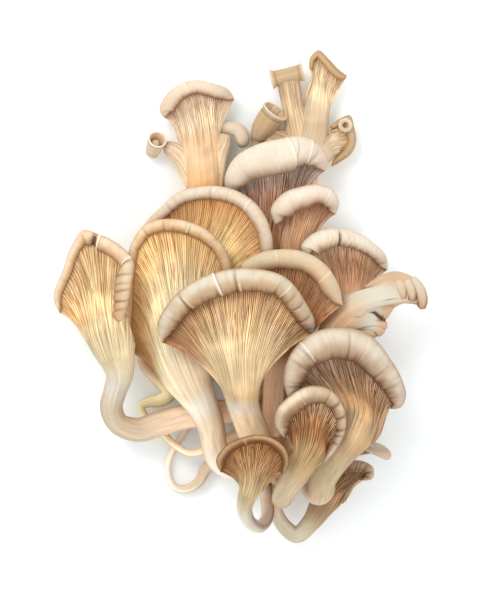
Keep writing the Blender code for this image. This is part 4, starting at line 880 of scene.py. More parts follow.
def arm_surface(lobe):
    """Closed surface of an arm of the cap, gilled on its upper side unless it shows its skin."""
    skin = Surface()
    shown = 0.0 if lobe["plain"] else 1.0
    fine_u = np.linspace(0, 1, GILL_STEPS * ARM_GILLS + 1)
    ring_u = (1 - np.cos(np.linspace(0, pi, STEM_STEPS + 1))) / 2
    places = ring_places(lobe, ARM_STEP)
    tip = np.clip((1 - places) / 0.06, 0, 1)
    soft = np.maximum(np.sqrt(1 - (1 - tip)**2), 0.05)
    c, r, _, front, side = stem_frames(lobe, places)
    flat = lobe.get("flat", 1.0)
    front_rows, back_rows = [], []
    for k, place in enumerate(places):
        radius = r[k, 0] * soft[k]
        angle = pi * (1 - fine_u)
        points = (c[k] + side[k] * (radius * np.cos(angle))[:, None]
                  + front[k] * (radius * flat * np.sin(angle)**0.8)[:, None])
        pitch = 2 * radius / ARM_GILLS * MM
        sides = smooth(np.minimum(fine_u, 1 - fine_u) / 0.1)
        normal = np.repeat(front[k][None], len(fine_u), 0)
        # painted shade on the flanks of an arm that shows its skin, deepening towards its tip
        flank = (0.3 + 0.6 * place) * np.abs(np.cos(angle))**2.2
        front_rows.append(skin.add(fine_u, points, rise=normal, gilled=shown * sides,
                                   along=0.1 + 0.8 * place if shown else 0.7 + 0.3 * place,
                                   crease=(1 - shown) * (flank + 0.4 * smooth((place - 0.5) / 0.5)),
                                   relief=0.8 * shown * sides * soft[k], pitch=pitch))
    for k, place in enumerate(places):
        radius = r[k, 0] * soft[k]
        angle = pi * (1 - ring_u)
        points = (c[k] + side[k] * (radius * np.cos(angle))[:, None]
                  - front[k] * (radius * flat * np.sin(angle))[:, None])
        ids = front_rows[k][1]
        # painted shade over the arm's underside
        back_rows.append(skin.add(ring_u, points, down=0.2 * shown, along=(0.7 + 0.3 * place) * (1 - shown),
                                  crease=(1 - shown) * 0.85, ends=(ids[0], ids[-1])))
    for a, b in zip(front_rows, front_rows[1:]):
        skin.join(a, b)
    for a, b in zip(back_rows, back_rows[1:]):
        skin.join(b, a)
    for row_f, row_b, flip in ((front_rows[0], back_rows[0], 1), (front_rows[-1], back_rows[-1], -1)):
        ring = list(row_f[1][::-1]) + list(row_b[1][1:-1])
        skin.face(ring[::flip])
    return skin.data()


def tube_surface(lobe):
    """Closed surface of a margin that has rolled up: a tube open at both ends, or a closed curl."""
    skin = Surface()
    around = np.linspace(0, 1, TUBE_SIDES + 1)[:-1]
    closed = lobe.get("closed")
    places = ring_places(lobe, CURL_STEP if closed else TUBE_STEP)
    c, r, along, front, side = stem_frames(lobe, places)
    wall = lobe.get("wall", 0.9)
    rows = []

    def ring(k, radius, shift, **values):
        angle = around * 2 * pi
        radius = radius * (1 + 0.02 * ripple(lobe["seed"] + 30, (around * 3 + places[k]) % 1, 4))
        points = (c[k] + along[k] * shift + side[k] * (radius * np.cos(angle))[:, None]
                  + front[k] * (radius * lobe.get("flat", 1.0) * np.sin(angle))[:, None])
        return skin.add(around, points, **values)

    bore = lobe["bore"] * 1.6
    for k in range(len(places)):
        t = places[k]
        near = min(t, 1 - t)
        if closed:
            tip = min(t / closed[0], (1 - t) / closed[1], 1)
            # darker towards the curl's two narrowing ends
            rows.append(ring(k, r[k, 0] * max(np.sqrt(1 - (1 - tip)**2), 0.06), 0.0, rolled=1.0,
                             turned=0.35 + 0.5 * t, crease=0.5 * (1 - tip)))
            continue
        edge = float(np.exp(-(near / 0.05)**2))
        # painted shade in a shallow groove near each open end
        groove = float(np.exp(-((near - 0.13) / 0.03)**2)) * 0.25
        rows.append(ring(k, r[k, 0] * (1 + 0.04 * edge) - groove, 0.0, rolled=1.0,
                         turned=0.45 + 0.3 * edge, crease=groove * 2.6, slit=edge * 0.4))
    for k, sign, stack in () if closed else ((0, 1, []), (len(places) - 1, -1, [])):
        outer = r[k, 0] * 1.04
        stack.append(ring(k, outer - wall * 0.3, sign * wall * 0.35, rolled=1.0, turned=0.7, slit=0.4))
        stack.append(ring(k, outer - wall * 0.7, sign * wall * 0.35, rolled=1.0, turned=0.7, slit=0.25))
        for depth, shade in ((0.0, 0.6), (0.3, 0.9), (0.65, 1.0), (1.0, 1.0)):
            stack.append(ring(k, (outer - wall) * (1 - 0.25 * depth), -sign * bore * depth,
                              gilled=1.0, along=0.95, crease=shade))
        if k == 0:
            rows = stack[::-1] + rows
        else:
            rows = rows + stack
    for a, b in zip(rows, rows[1:]):
        n = len(a[1])
        for j in range(n):
            skin.face((a[1][j], a[1][(j + 1) % n], b[1][(j + 1) % n], b[1][j]))
    skin.face(list(rows[0][1][::-1]))
    skin.face(list(rows[-1][1]))
    return skin.data()


def closed_volume(points, faces):
    """Signed volume inside the faces."""
    total = 0.0
    for size in (3, 4):
        group = np.array([f for f in faces if len(f) == size])
        if len(group):
            a = points[group[:, 0]]
            for k in range(1, size - 1):
                total += np.einsum("ij,ij->i", a, np.cross(points[group[:, k]], points[group[:, k + 1]])).sum() / 6
    return total


def mushroom_mesh(name, lobes, look, gills):
    """Mesh of one mushroom with its lobes, with the values that the gills and the material read."""
    all_points, all_values, all_rises, all_faces = [], [], [], []
    start = 0
    for number, lobe in enumerate(lobes):
        lobe = dict(lobe, seed=look["seed"] * 100 + number * 17, plain=lobes[0].get("face", (0, 0, 1))[2] < 0)
        if "rim" in lobe:
            share = 1.0 if number == 0 else LOBE_SHARE
            lobe.update(gills=max(8, int(gills * share)), rows=look["rows"],
                        columns=int(look["columns"] * share))
            if number == 0:
                lobe.update(creases=look["creases"], slits=look["slits"], tears=look.get("tears", ()),
                            folds_from=look.get("folds_from", 70))
            points, values, rises, faces = cap_surface(lobe)
        elif lobe["bore"] > 0:
            points, values, rises, faces = tube_surface(lobe)
        else:
            points, values, rises, faces = arm_surface(lobe)
        if closed_volume(points, faces) < 0:
            faces = [f[::-1] for f in faces]
        points[:, 2] = np.maximum(points[:, 2], 0.0)
        all_points.append(points * MM)
        all_values.append(values)
        all_rises.append(rises)
        all_faces += [tuple(start + k for k in f) for f in faces] if start else faces
        start += len(points)
    mesh = bpy.data.meshes.new(name)
    mesh.from_pydata(np.concatenate(all_points).tolist(), [], all_faces)
    values = np.concatenate(all_values)
    for k, key in enumerate(VALUES):
        layer = mesh.attributes.new(key, "FLOAT", "POINT")
        layer.data.foreach_set("value", values[:, k].astype(np.float32))
    layer = mesh.attributes.new("rise", "FLOAT_VECTOR", "POINT")
    layer.data.foreach_set("vector", np.concatenate(all_rises).astype(np.float32).ravel())
    return mesh


# ---------------------------------------------------------------- node helpers

NODES_IN_ROW = 14
# nearly black painted shade in the deepest folds, notches and tears
FOLD_SHADE = (58, 34, 24)
SPLIT_PALE = (255, 247, 230)


def rgba(colour):
    """Colour with full opacity."""
    return (*colour, 1.0)


def feed(made, inputs):
    """Gives a node's inputs values or links them."""
    for key, value in inputs.items():
        if isinstance(value, Value):
            value.tree.links.new(value.socket, made.inputs[key])
        else:
            made.inputs[key].default_value = value


def add(tree, kind, inputs=(), out=0, **settings):
    """Adds a node, sets it, feeds it and gives one of its outputs."""
    made = tree.nodes.new(kind)
    made.location = (180 * (len(tree.nodes) % NODES_IN_ROW), -220 * (len(tree.nodes) // NODES_IN_ROW))
    for key, value in settings.items():
        setattr(made, key, value)
    feed(made, dict(inputs))
    return Value(tree, made.outputs[out])


class Value:
    """Output of a node. Sums with it, and its methods, add the nodes that work them out."""

    def __init__(self, tree, socket):
        self.tree, self.socket = tree, socket

    def math(self, operation, *others):
        """Math node's result."""
        return add(self.tree, "ShaderNodeMath", enumerate((self, *others)), operation=operation)

    def __add__(self, other):
        return self.math("ADD", other)

    def __sub__(self, other):
        return self.math("SUBTRACT", other)

    def __mul__(self, other):
        return self.math("MULTIPLY", other)

    def distance(self, place):
        """How far this number is from another."""
        return (self - place).math("ABSOLUTE")

    def ramp(self, low, high, kind="SMOOTHSTEP"):
        """This number mapped from low..high to 0..1."""
        return add(self.tree, "ShaderNodeMapRange", {"Value": self, "From Min": low, "From Max": high},
                   "Result", interpolation_type=kind)

    def scaled(self, by):
        """This colour or vector times a number."""
        return add(self.tree, "ShaderNodeVectorMath", {0: self, "Scale": by}, "Vector", operation="SCALE")

    def mixed(self, share, other, kind="MIX"):
        """This colour with a share of another."""
        return mix(share, self, other, kind)

    def beside(self, label):
        """Another output of the same node."""
        return Value(self.tree, self.socket.node.outputs[label])


def mix(share, first, second, kind="MIX"):
    """Two colours mixed; the node's sockets 0, 6 and 7 are its share and its colours, and output 2 the result."""
    return add(share.tree, "ShaderNodeMix", {0: share, 6: first, 7: second}, 2,
               data_type="RGBA", blend_type=kind)


def noise(place, scale, detail, roughness=0.5):
    """Smooth noise at a place."""
    return add(place.tree, "ShaderNodeTexNoise", {"Vector": place, "Scale": scale, "Detail": detail,
                                                  "Roughness": roughness}, "Fac")


def new_group(name, kind, inputs, outputs):
    """Node tree with named sockets: the tree, its inputs by name and its output node."""
    tree = bpy.data.node_groups.new(name, kind)
    for label, (socket, default) in inputs.items():
        made = tree.interface.new_socket(label, in_out="INPUT", socket_type="NodeSocket" + socket)
        if default is not None:
            made.default_value = default
    for label, socket in outputs.items():
        tree.interface.new_socket(label, in_out="OUTPUT", socket_type="NodeSocket" + socket)
    given = tree.nodes.new("NodeGroupInput")
    return tree, {label: Value(tree, given.outputs[label]) for label in inputs}, tree.nodes.new("NodeGroupOutput")


def new_material(name):
    """Material with its node tree and its shader."""
    material = bpy.data.materials.new(name)
    material.use_nodes = True
    return material, material.node_tree, material.node_tree.nodes["Principled BSDF"]


# ---------------------------------------------------------------- gills

def gill_tree():
    """Geometry Nodes tree that cuts the gaps between the gills into a gilled surface.

    Every fourth gap runs the whole way from the stem, one between them starts further out, and
    the rest start near the margin, so that the gills fork as they fan out.
    """
    tree, given, result = new_group("Gill relief", "GeometryNodeTree", {
        "Geometry": ("Geometry", None), "Gills": ("Int", 60), "Depth": ("Float", 0.0012),
        "Gap Width": ("Float", 0.36), "Second Start": ("Float", 0.2), "Third Start": ("Float", 0.48),
        "Seed": ("Int", 1), "Flesh": ("Material", None)}, {"Geometry": "Geometry"})
    tree.is_modifier = True

    def named(key, kind="FLOAT"):
        return add(tree, "GeometryNodeInputNamedAttribute", {"Name": key}, "Attribute", data_type=kind)

    def chance(number, shift, low, high):
        # inputs 2 and 3 are the range of numbers, and output 1 is the number drawn
        return add(tree, "FunctionNodeRandomValue", {2: low, 3: high, "ID": number, "Seed": given["Seed"] + shift},
                   1, data_type="FLOAT")

    def stored(geometry, key, value):
        return add(tree, "GeometryNodeStoreNamedAttribute", {"Geometry": geometry, "Name": key, "Value": value},
                   "Geometry", data_type="FLOAT", domain="POINT")

    place = named("across") * given["Gills"]
    gap = place.math("ROUND")
    rank = gap.math("FLOORED_MODULO", 4.0)
    whole, half = rank.math("LESS_THAN", 0.5), rank.math("COMPARE", 2.0, 0.5)
    start = given["Third Start"] + chance(gap, 0.0, -0.16, 0.16)
    start = half.math("MULTIPLY_ADD", given["Second Start"] - given["Third Start"], start) - whole * 2.0
    notch = place.distance(gap).ramp(0.0, given["Gap Width"]).math("MULTIPLY_ADD", -1.0, 1.0)
    strength = notch * (named("along") - start).ramp(0.0, 0.16) * named("relief") * chance(gap, 7.0, 0.3, 1.0)
    depth = strength * given["Depth"].math("MINIMUM", named("pitch") * 1.5)
    shape = add(tree, "GeometryNodeSetPosition", {"Geometry": given["Geometry"],
                                                  "Offset": named("rise", "FLOAT_VECTOR").scaled(depth * -1.0)})
    shape = stored(shape, "gap", strength)
    shape = stored(shape, "tone", chance(place.math("FLOOR"), 3.0, 0.0, 1.0))
    shape = add(tree, "GeometryNodeRealizeInstances", {"Geometry": shape})
    feed(result, {"Geometry": add(tree, "GeometryNodeSetMaterial", {"Geometry": shape, "Material": given["Flesh"]})})
    return tree


def socket_id(tree, label):
    """Identifier of a tree's named input."""
    return next(item.identifier for item in tree.interface.items_tree
                if item.item_type == "SOCKET" and item.in_out == "INPUT" and item.name == label)


def cut_gills(obj, settings, material, seed):
    """Runs the gill tree on an object and keeps its result as the object's plain mesh."""
    tree = bpy.data.node_groups.get("Gill relief") or gill_tree()
    modifier = obj.modifiers.new("Gills", "NODES")
    modifier.node_group = tree
    for label, value in (("Gills", settings.gills), ("Depth", settings.gill_depth),
                         ("Gap Width", settings.gap_width), ("Seed", seed), ("Flesh", material)):
        modifier[socket_id(tree, label)] = value
    keep_result(obj, preserve_all_data_layers=True)
    if "gap" not in obj.data.attributes or not obj.data.materials or obj.data.materials[0] is None:
        raise RuntimeError(obj.name + ": the gill tree left no gaps or no material")


def keep_result(obj, **options):
    """Makes the result of an object's modifiers its plain mesh."""
    depsgraph = bpy.context.evaluated_depsgraph_get()
    mesh = bpy.data.meshes.new_from_object(obj.evaluated_get(depsgraph), depsgraph=depsgraph, **options)
    obj.modifiers.clear()
    old, obj.data = obj.data, mesh
    bpy.data.meshes.remove(old)
    mesh.name = obj.name


# ---------------------------------------------------------------- shared finishes

def drawn_streaks(given):
    """Noise drawn out along the growth of the flesh, from its place across and along."""
    place = add(given["Turn"].tree, "ShaderNodeCombineXYZ", {
        "X": given["Across"] * given["Fineness"], "Y": given["Along"] * given["Length"], "Z": given["Turn"]})
    return {"Value": noise(place, 1.0, 3.0, 0.6).ramp(0.3, 0.7, "LINEAR")}


def flesh_mottle(given):
    """Soft patches and fine grain that lighten and darken a colour."""
    place = add(given["Color"].tree, "ShaderNodeTexCoord", out="Object")
    grain = noise(place, 900.0, 4.0, 0.6)
    warm = noise(place, given["Patch Scale"], 3.0, 0.55).ramp(0.42, 0.7) * given["Patches"]
    tinted = given["Color"].mixed(warm, given["Warm"], "SOFT_LIGHT").mixed(warm * 0.5, given["Warm"], "MULTIPLY")
    return {"Color": tinted.scaled((grain - 0.5) * given["Grain"] + 1.0), "Height": grain}


def gill_tones(given):
    """Colour of a gilled surface, from the stem out to the margin, with dark gaps between gills."""
    along, across, contrast, painted_shade = (given[key] for key in ("Along", "Across", "Contrast", "Gap"))
    base = given["Neck"].mixed(along.ramp(0.05, 0.5), given["Middle"])
    base = base.mixed(along.ramp(0.5, 1.0), given["Margin"])
    # painted shade towards the fan's left and right ends
    sides = across.ramp(0.45, 0.0) * given["Dark Left"] + across.ramp(0.55, 1.0) * given["Dark Right"]
    base = base.mixed(sides * along.ramp(0.1, 0.6), painted_shade)
    light = (given["Tone"] - 0.5) * 0.22 + 1.0
    light = (given["Streak"] - 0.5) * contrast * 0.45 + light
    pale = given["Patch"].ramp(0.42, 0.68) * along.ramp(1.0, 0.55)
    light = (pale - 0.4) * 0.36 + light
    # a painted highlight round one place on the gills, broken up by the patches
    aside, beyond = (across - given["Glow Across"]) * 4.0, (along - given["Glow Along"]) * 3.0
    painted_highlight = (aside * aside + beyond * beyond).ramp(1.0, 0.0) * given["Glow"] * given["Patch"].ramp(0.3, 0.65)
    base = base.scaled(painted_highlight * 0.5 + light)
    # dark dashes towards the margin, in the colour of the painted shade
    base = base.mixed(given["Dash"].ramp(0.58, 0.9) * along.ramp(0.25, 0.8) * contrast * 0.66, painted_shade)
    # painted shade in the gaps between the gills, darker where a gap is cut deeper
    gap = given["Gap Depth"].math("POWER", 0.8) * along.ramp(-0.2, 0.75)
    return {"Color": base.mixed(gap * contrast * 0.6, painted_shade)}


def margin_tones(given):
    """Colour across the rolled margin: shaded outer side, pale crown, shaded lip, folds and splits."""
    turned, across, shade, fold = (given[key] for key in ("Turned", "Across", "Shade", "Fold"))
    # darker painted shade for the outer side and the folds
    deep_shade = shade.scaled(0.55)
    wander = given["Wrinkle"] - 0.5
    # a patchy painted highlight along the crown of the roll
    crown = turned.ramp(0.42, 0.55) * turned.ramp(0.8, 0.62) * (given["Patch"].ramp(0.3, 0.6) * 0.7 + 0.3)
    base = given["Body"].mixed(crown, given["Crown Highlight"])
    # painted shade at the lip, shifted by the wrinkles
    base = base.mixed((wander * 0.16 + turned).ramp(0.74, 1.0) * 0.9, shade)
    # painted shade on the outer side, and painted light and shade of the wrinkles over the whole margin
    base = base.mixed(turned.ramp(0.45, 0.34) * 0.6, deep_shade).scaled(wander * 0.26 + 1.0)
    # painted shade towards the rim's two ends, then darker painted shade in the folds
    sides = across.ramp(0.4, 0.0) * given["Dark Left"] + across.ramp(0.6, 1.0) * given["Dark Right"]
    base = base.mixed(sides, shade).mixed(fold.ramp(0.06, 0.7) * 0.62, deep_shade)
    base = base.mixed(given["Split Strength"] * 0.9, given["Split"])
    # nearly black painted shade in the deepest folds and notches
    return {"Color": base.mixed(fold.ramp(0.86, 1.0) * 0.8, rgba(paint(*FOLD_SHADE)))}


def stem_tones(given):
    """Colour of a stem from its neck to its foot, with streaks that run along it."""
    down, across = given["Down"], given["Across"]
    base = given["Top"].mixed(down.ramp(0.0, 0.3), given["Middle"]).mixed(down.ramp(0.4, 0.8), given["Foot"])
    # painted shade on the stem's sides, more on the right, in the margin's colour
    base = base.mixed(across.ramp(0.25, 0.0) * 0.3 + across.ramp(0.5, 1.0) * 0.55, given["Side"])
    # painted shade along the stem's two edges
    base = base.mixed(across.distance(0.5).ramp(0.3, 0.5) * 0.4, given["Edge Shade"])
    light = (given["Streak"] - 0.5) * 0.55 + 1.0
    # a painted highlight just left of the stem's middle, over the streaks
    return {"Color": base.scaled(across.distance(0.33).ramp(0.2, 0.0) * 0.16 + light)}


# What builds each shared group, with the names of its colours, its numbers and its outputs
SHARED_GROUPS = {
    "Drawn streaks": (drawn_streaks, (), ("Across", "Along", "Fineness", "Length", "Turn"), ("Value",)),
    "Flesh mottle": (flesh_mottle, ("Color", "Warm"), ("Patches", "Patch Scale", "Grain"), ("Color", "Height")),
    "Gill tones": (gill_tones, ("Neck", "Middle", "Margin", "Gap"), (
        "Along", "Across", "Gap Depth", "Tone", "Dark Left", "Dark Right", "Streak", "Dash", "Patch",
        "Contrast", "Glow Across", "Glow Along", "Glow"), ("Color",)),
    "Margin tones": (margin_tones, ("Crown Highlight", "Body", "Shade", "Split"), (
        "Turned", "Fold", "Split Strength", "Patch", "Wrinkle", "Across", "Dark Left", "Dark Right"), ("Color",)),
    "Stem tones": (stem_tones, ("Top", "Middle", "Foot", "Side", "Edge Shade"), ("Down", "Across", "Streak"),
                   ("Color",)),
}


def shared(tree, name, inputs, out="Color"):
    """Places a shared group, which is built at its first use, and gives one of its outputs."""
    if name not in bpy.data.node_groups:
        build, colours, numbers, outputs = SHARED_GROUPS[name]
        sockets = {label: ("Color", None) for label in colours}
        sockets.update((label, ("Float", 0.5)) for label in numbers)
        _, given, result = new_group(name, "ShaderNodeTree", sockets, {
            label: "Color" if label == "Color" else "Float" for label in outputs})
        feed(result, build(given))
    return add(tree, "ShaderNodeGroup", inputs, out, node_tree=bpy.data.node_groups[name])


def flesh_material(name, settings, look):
    """Flesh of one mushroom: its gills, rolled margin, stem and outer skin in one material."""
    material, tree, shader = new_material(name)
    tone = {key: rgba(getattr(settings, key)) for key in COLOURS}
    read = {key: add(tree, "ShaderNodeAttribute", out="Fac", attribute_name=key)
            for key in (*VALUES[:8], "gap", "tone")}
    across, along, down, crease = (read[key] for key in ("across", "along", "down", "crease"))

    def streaks(place, fineness, length, shift):
        return shared(tree, "Drawn streaks", {"Across": across, "Along": place, "Fineness": fineness,
                                              "Length": length, "Turn": float(look["seed"] + shift)}, "Value")

    broad, narrow = streaks(down, 9.0, 4.0, 3), streaks(down, 30.0, 6.0, 5)
    grainy = (narrow - broad) * 0.4 + broad
    wrinkle = (streaks(read["turned"], 34.0, 1.6, 9) - 0.5) * look.get("wrinkle", 1.0) + 0.5
    patch = noise(add(tree, "ShaderNodeTexCoord", out="Object"), 55.0, 2.0)
    painted_highlight = look.get("painted_highlight", (0.5, 0.5, 0))
    gills = shared(tree, "Gill tones", {
        "Neck": tone["neck"], "Middle": tone["middle"], "Margin": tone["margin"], "Gap": tone["line"],
        "Along": along, "Across": across, "Gap Depth": read["gap"], "Tone": read["tone"],
        "Dark Left": look["painted_shade"][0], "Dark Right": look["painted_shade"][1],
        "Streak": streaks(along, look["gills"] * 0.9, 2.2, 0), "Dash": streaks(along, look["gills"] * 1.7, 5.0, 7),
        "Patch": patch, "Contrast": look.get("contrast", 1.05),
        "Glow Across": painted_highlight[0], "Glow Along": painted_highlight[1], "Glow": painted_highlight[2]})
    rolled = shared(tree, "Margin tones", {
        "Crown Highlight": tone["roll"], "Body": tone["body"], "Shade": tone["shade"], "Split": rgba(paint(*SPLIT_PALE)),
        "Turned": read["turned"], "Fold": crease, "Split Strength": read["slit"], "Patch": patch,
        "Wrinkle": wrinkle, "Across": across, "Dark Left": 0.2, "Dark Right": 0.3})
    stem = shared(tree, "Stem tones", {
        "Top": tone["top"], "Middle": tone["stem"], "Foot": tone["foot"], "Side": tone["body"],
        "Edge Shade": tone["shade"], "Down": down, "Across": across, "Streak": grainy})
    base = stem.mixed(along.ramp(0.02, 0.5), tone["skin"])
    base = base.mixed(along.ramp(look.get("edge_from", 0.7), 1.0) * look.get("edged", 0.3), tone["body"])
    # painted shade in the skin's folds and on the arms' flanks and undersides, nearly black in the tears and the
    # deepest folds
    base = base.mixed(crease.ramp(0.1, 0.9) * 0.75, tone["shade"])
    base = base.mixed(crease.ramp(0.9, 1.0) * 0.85, rgba(paint(*FOLD_SHADE)))
    base = base.mixed(read["gilled"], gills).mixed(read["rolled"], rolled)
    mottled = shared(tree, "Flesh mottle", {"Color": base, "Patches": 0.22, "Patch Scale": 60.0, "Grain": 0.12,
                                            "Warm": tone["foot"]})
    height = mottled.beside("Height")
    bump = add(tree, "ShaderNodeBump", {"Strength": 0.25, "Distance": 0.0006, "Height": grainy * 0.6 + height * 0.5})
    feed(shader, {"Base Color": mottled, "Roughness": height * 0.2 + 0.5, "Specular IOR Level": 0.25,
                  "Normal": bump})
    return material


def clump_material(settings):
    """Fused flesh where the stems grow together, and its paler cut face."""
    material, tree, shader = new_material("clump_flesh")
    place = add(tree, "ShaderNodeTexCoord", out="Object")
    folds = noise(place, 130.0, 5.0, 0.6)
    base = mix(folds.ramp(0.35, 0.65), rgba(settings.shade), rgba(settings.flesh))
    height = add(tree, "ShaderNodeSeparateXYZ", {"Vector": place}, "Z")
    mottled = shared(tree, "Flesh mottle", {"Color": base.mixed(height.ramp(0.0008, 0.0), rgba(settings.cut)),
                                            "Patches": 0.4, "Patch Scale": 90.0, "Grain": 0.2,
                                            "Warm": rgba(settings.shade)})
    bump = add(tree, "ShaderNodeBump", {"Strength": 0.4, "Distance": 0.001, "Height": folds})
    feed(shader, {"Base Color": mottled, "Roughness": mottled.beside("Height") * 0.2 + 0.55, "Normal": bump})
    return material


# ---------------------------------------------------------------- pieces

def place_piece(obj, node_name):
    """Puts a finished piece on the cluster's body, in the place of its packed solid."""
    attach(obj, "root")
    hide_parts(node_name)


def grow_mushroom(name, settings):
    """Makes one mushroom over its packed solid."""
    look = LOOKS[name]
    mesh = mushroom_mesh(name + "_grown", MUSHROOMS[name], look, settings.gills)
    obj = bpy.data.objects.new(name + "_grown", mesh)
    bpy.context.scene.collection.objects.link(obj)
    cut_gills(obj, settings, flesh_material(name + "_grown", settings, look), look["seed"])
    obj.data.shade_smooth()
    place_piece(obj, name)


def grow_clump(settings):
    """Makes the clump that the stems grow from, flat where it was cut."""
    template = bmesh.new()
    bmesh.ops.create_icosphere(template, subdivisions=4, radius=1.0)
    ball = np.array([v.co[:] for v in template.verts])
    triangles = [tuple(v.index for v in f.verts) for f in template.faces]
    template.free()
    points, faces = [], []
    for middle, radii in CLUMP_LUMPS:
        start = len(points)
        points += list(ball * radii + middle)
        faces += [tuple(start + i for i in t) for t in triangles]
    points = np.asarray(points) * MM
    mesh = bpy.data.meshes.new("clump_grown")
    mesh.from_pydata(points.tolist(), [], faces)
    obj = bpy.data.objects.new("clump_grown", mesh)
    bpy.context.scene.collection.objects.link(obj)
    remesh = obj.modifiers.new("Remesh", "REMESH")
    remesh.mode = "VOXEL"
    remesh.voxel_size = settings.voxel
    relax = obj.modifiers.new("Smooth", "SMOOTH")
    relax.iterations = 6
    keep_result(obj)
    fused = obj.data
    work = bmesh.new()
    work.from_mesh(fused)
    everything = work.verts[:] + work.edges[:] + work.faces[:]
    bmesh.ops.bisect_plane(work, geom=everything, plane_co=(0, 0, 0), plane_no=(0, 0, 1), clear_inner=True)
    bmesh.ops.holes_fill(work, edges=[e for e in work.edges if e.is_boundary])
    bmesh.ops.triangulate(work, faces=[f for f in work.faces if len(f.verts) > 4])
    bmesh.ops.recalc_face_normals(work, faces=work.faces[:])
    work.to_mesh(fused)
    work.free()
    fused.shade_smooth()
    fused.materials.clear()
    fused.materials.append(clump_material(settings))
    place_piece(obj, "clump")


def soft_light(name, aim, power, place, size, colour):
    """Large soft lamp that looks at a point."""
    lamp = bpy.data.lights.new(name, "AREA")
    lamp.shape = "DISK"
    lamp.size = size
    lamp.energy = power
    lamp.color = colour
    obj = bpy.data.objects.new(name, lamp)
    obj.location = place
    obj.rotation_euler = (Vector(aim) - Vector(place)).to_track_quat("-Z", "Y").to_euler()
    bpy.context.scene.collection.objects.link(obj)


def set_stage(settings):
    """Pale floor, soft light, and the camera that looks straight down on the cluster."""
    scene = bpy.context.scene
    floor = bpy.data.meshes.new("floor")
    work = bmesh.new()
    bmesh.ops.create_grid(work, x_segments=8, y_segments=8, size=FLOOR_REACH)
    work.to_mesh(floor)
    work.free()
    obj = bpy.data.objects.new("floor", floor)
    obj.location = FLOOR_MIDDLE
    scene.collection.objects.link(obj)
    material, tree, shader = new_material("floor_paper")
    grain = noise(add(tree, "ShaderNodeTexCoord", out="Object"), 40.0, 3.0)
    feed(shader, {"Base Color": mix(grain, rgba(settings.floor_colour), rgba(settings.floor_tint)),
                  "Roughness": 0.9, "Specular IOR Level": 0.1})
    floor.materials.append(material)

    world = bpy.data.worlds.new("studio")
    world.use_nodes = True
    sky = world.node_tree.nodes["Background"]
    sky.inputs["Color"].default_value = rgba(settings.sky_colour)
    sky.inputs["Strength"].default_value = settings.sky_strength
    scene.world = world
    middle = (settings.aim_x, settings.aim_y, AIM_HEIGHT)
    soft_light("key", middle, settings.key_power, **KEY_LAMP)
    soft_light("fill", middle, settings.fill_power, **FILL_LAMP)

    lens = bpy.data.cameras.new("camera")
    lens.lens = LENS
    lens.sensor_width = SENSOR
    lens.clip_start, lens.clip_end = CAMERA_REACH
    camera = bpy.data.objects.new("camera", lens)
    camera.location = (settings.aim_x, settings.aim_y, settings.camera_height)
    scene.collection.objects.link(camera)
    scene.camera = camera
    scene.view_settings.view_transform = "Standard"


# ---------------------------------------------------------------- settings

def colour_prop(label, description, default):
    """Colour that the panel shows."""
    return FloatVectorProperty(name=label, description=description, subtype="COLOR", size=3, min=0, max=1,
                               default=paint(*default))


def length_prop(label, description, default, **limits):
    """Length that the panel shows."""
    return FloatProperty(name=label, description=description, default=default, subtype="DISTANCE",
                         unit="LENGTH", **limits)


def mushroom_settings(look):
    """Sizes and colours of one mushroom."""
    return {
        "gills": IntProperty(name="Gills", description="Number of gills across the cap", default=look["gills"],
                             min=8, max=140),
        "gill_depth": length_prop("Gill depth", "Depth of the painted shade between the gills", 0.8 * MM, min=0.0, max=0.004),
        "gap_width": FloatProperty(name="Gap width", description="Half the gap's width as a share of a gill's",
                                   default=0.3, min=0.05, max=0.5, subtype="FACTOR"),
        **{key: colour_prop(label, "Colour of " + what, look[key]) for key, (label, what) in COLOURS.items()},
    }


MUSHROOM_SETTINGS = {
    name: type("OYSTER_PG_" + name, (bpy.types.PropertyGroup,),
               {"__doc__": "Sizes and colours of " + name.replace("_", " ") + ".",
                "__annotations__": mushroom_settings(look)})
    for name, look in LOOKS.items()
}


class OYSTER_PG_clump(bpy.types.PropertyGroup):
    """Sizes and colours of the clump."""
    voxel: length_prop("Fineness", "Size of the smallest detail of the clump", 0.0012, min=0.0006, max=0.004)
    flesh: colour_prop("Flesh", "Colour of the fused flesh", (206, 170, 128))
    shade: colour_prop("Hollows", "Colour in the hollows between the stems", (150, 112, 78))
    cut: colour_prop("Cut face", "Colour where the clump was cut", (244, 232, 206))


class OYSTER_PG_stage(bpy.types.PropertyGroup):
    """Floor, light and camera."""
    floor_colour: colour_prop("Floor", "Colour of the floor", (248, 253, 254))
    floor_tint: colour_prop("Floor grain", "Colour of the floor's soft grain", (250, 253, 254))
    sky_colour: colour_prop("Surroundings", "Colour of the light from all round", (252, 254, 255))
    sky_strength: FloatProperty(name="Surrounding light", description="Strength of the light from all round",
                                default=1.12, min=0.0, max=5.0)
    key_power: FloatProperty(name="Key light", description="Power of the main soft lamp", default=7.0,
                             min=0.0, max=200.0, unit="POWER")
    fill_power: FloatProperty(name="Fill light", description="Power of the weaker soft lamp", default=1.5,
                              min=0.0, max=200.0, unit="POWER")
    aim_x: length_prop("Aim across", "Middle of the view across the cluster", -0.0099)
    aim_y: length_prop("Aim up", "Middle of the view up the cluster", 0.061)
    camera_height: length_prop("Camera height", "Height of the camera over the table", 2.283, min=0.5, max=10.0)


class OYSTER_PG_cluster(bpy.types.PropertyGroup):
    """Settings of the whole cluster."""
    __annotations__ = {
        name: PointerProperty(type=group, name=name)
        for name, group in (*MUSHROOM_SETTINGS.items(), ("clump", OYSTER_PG_clump), ("stage", OYSTER_PG_stage))
    }


# ---------------------------------------------------------------- operators

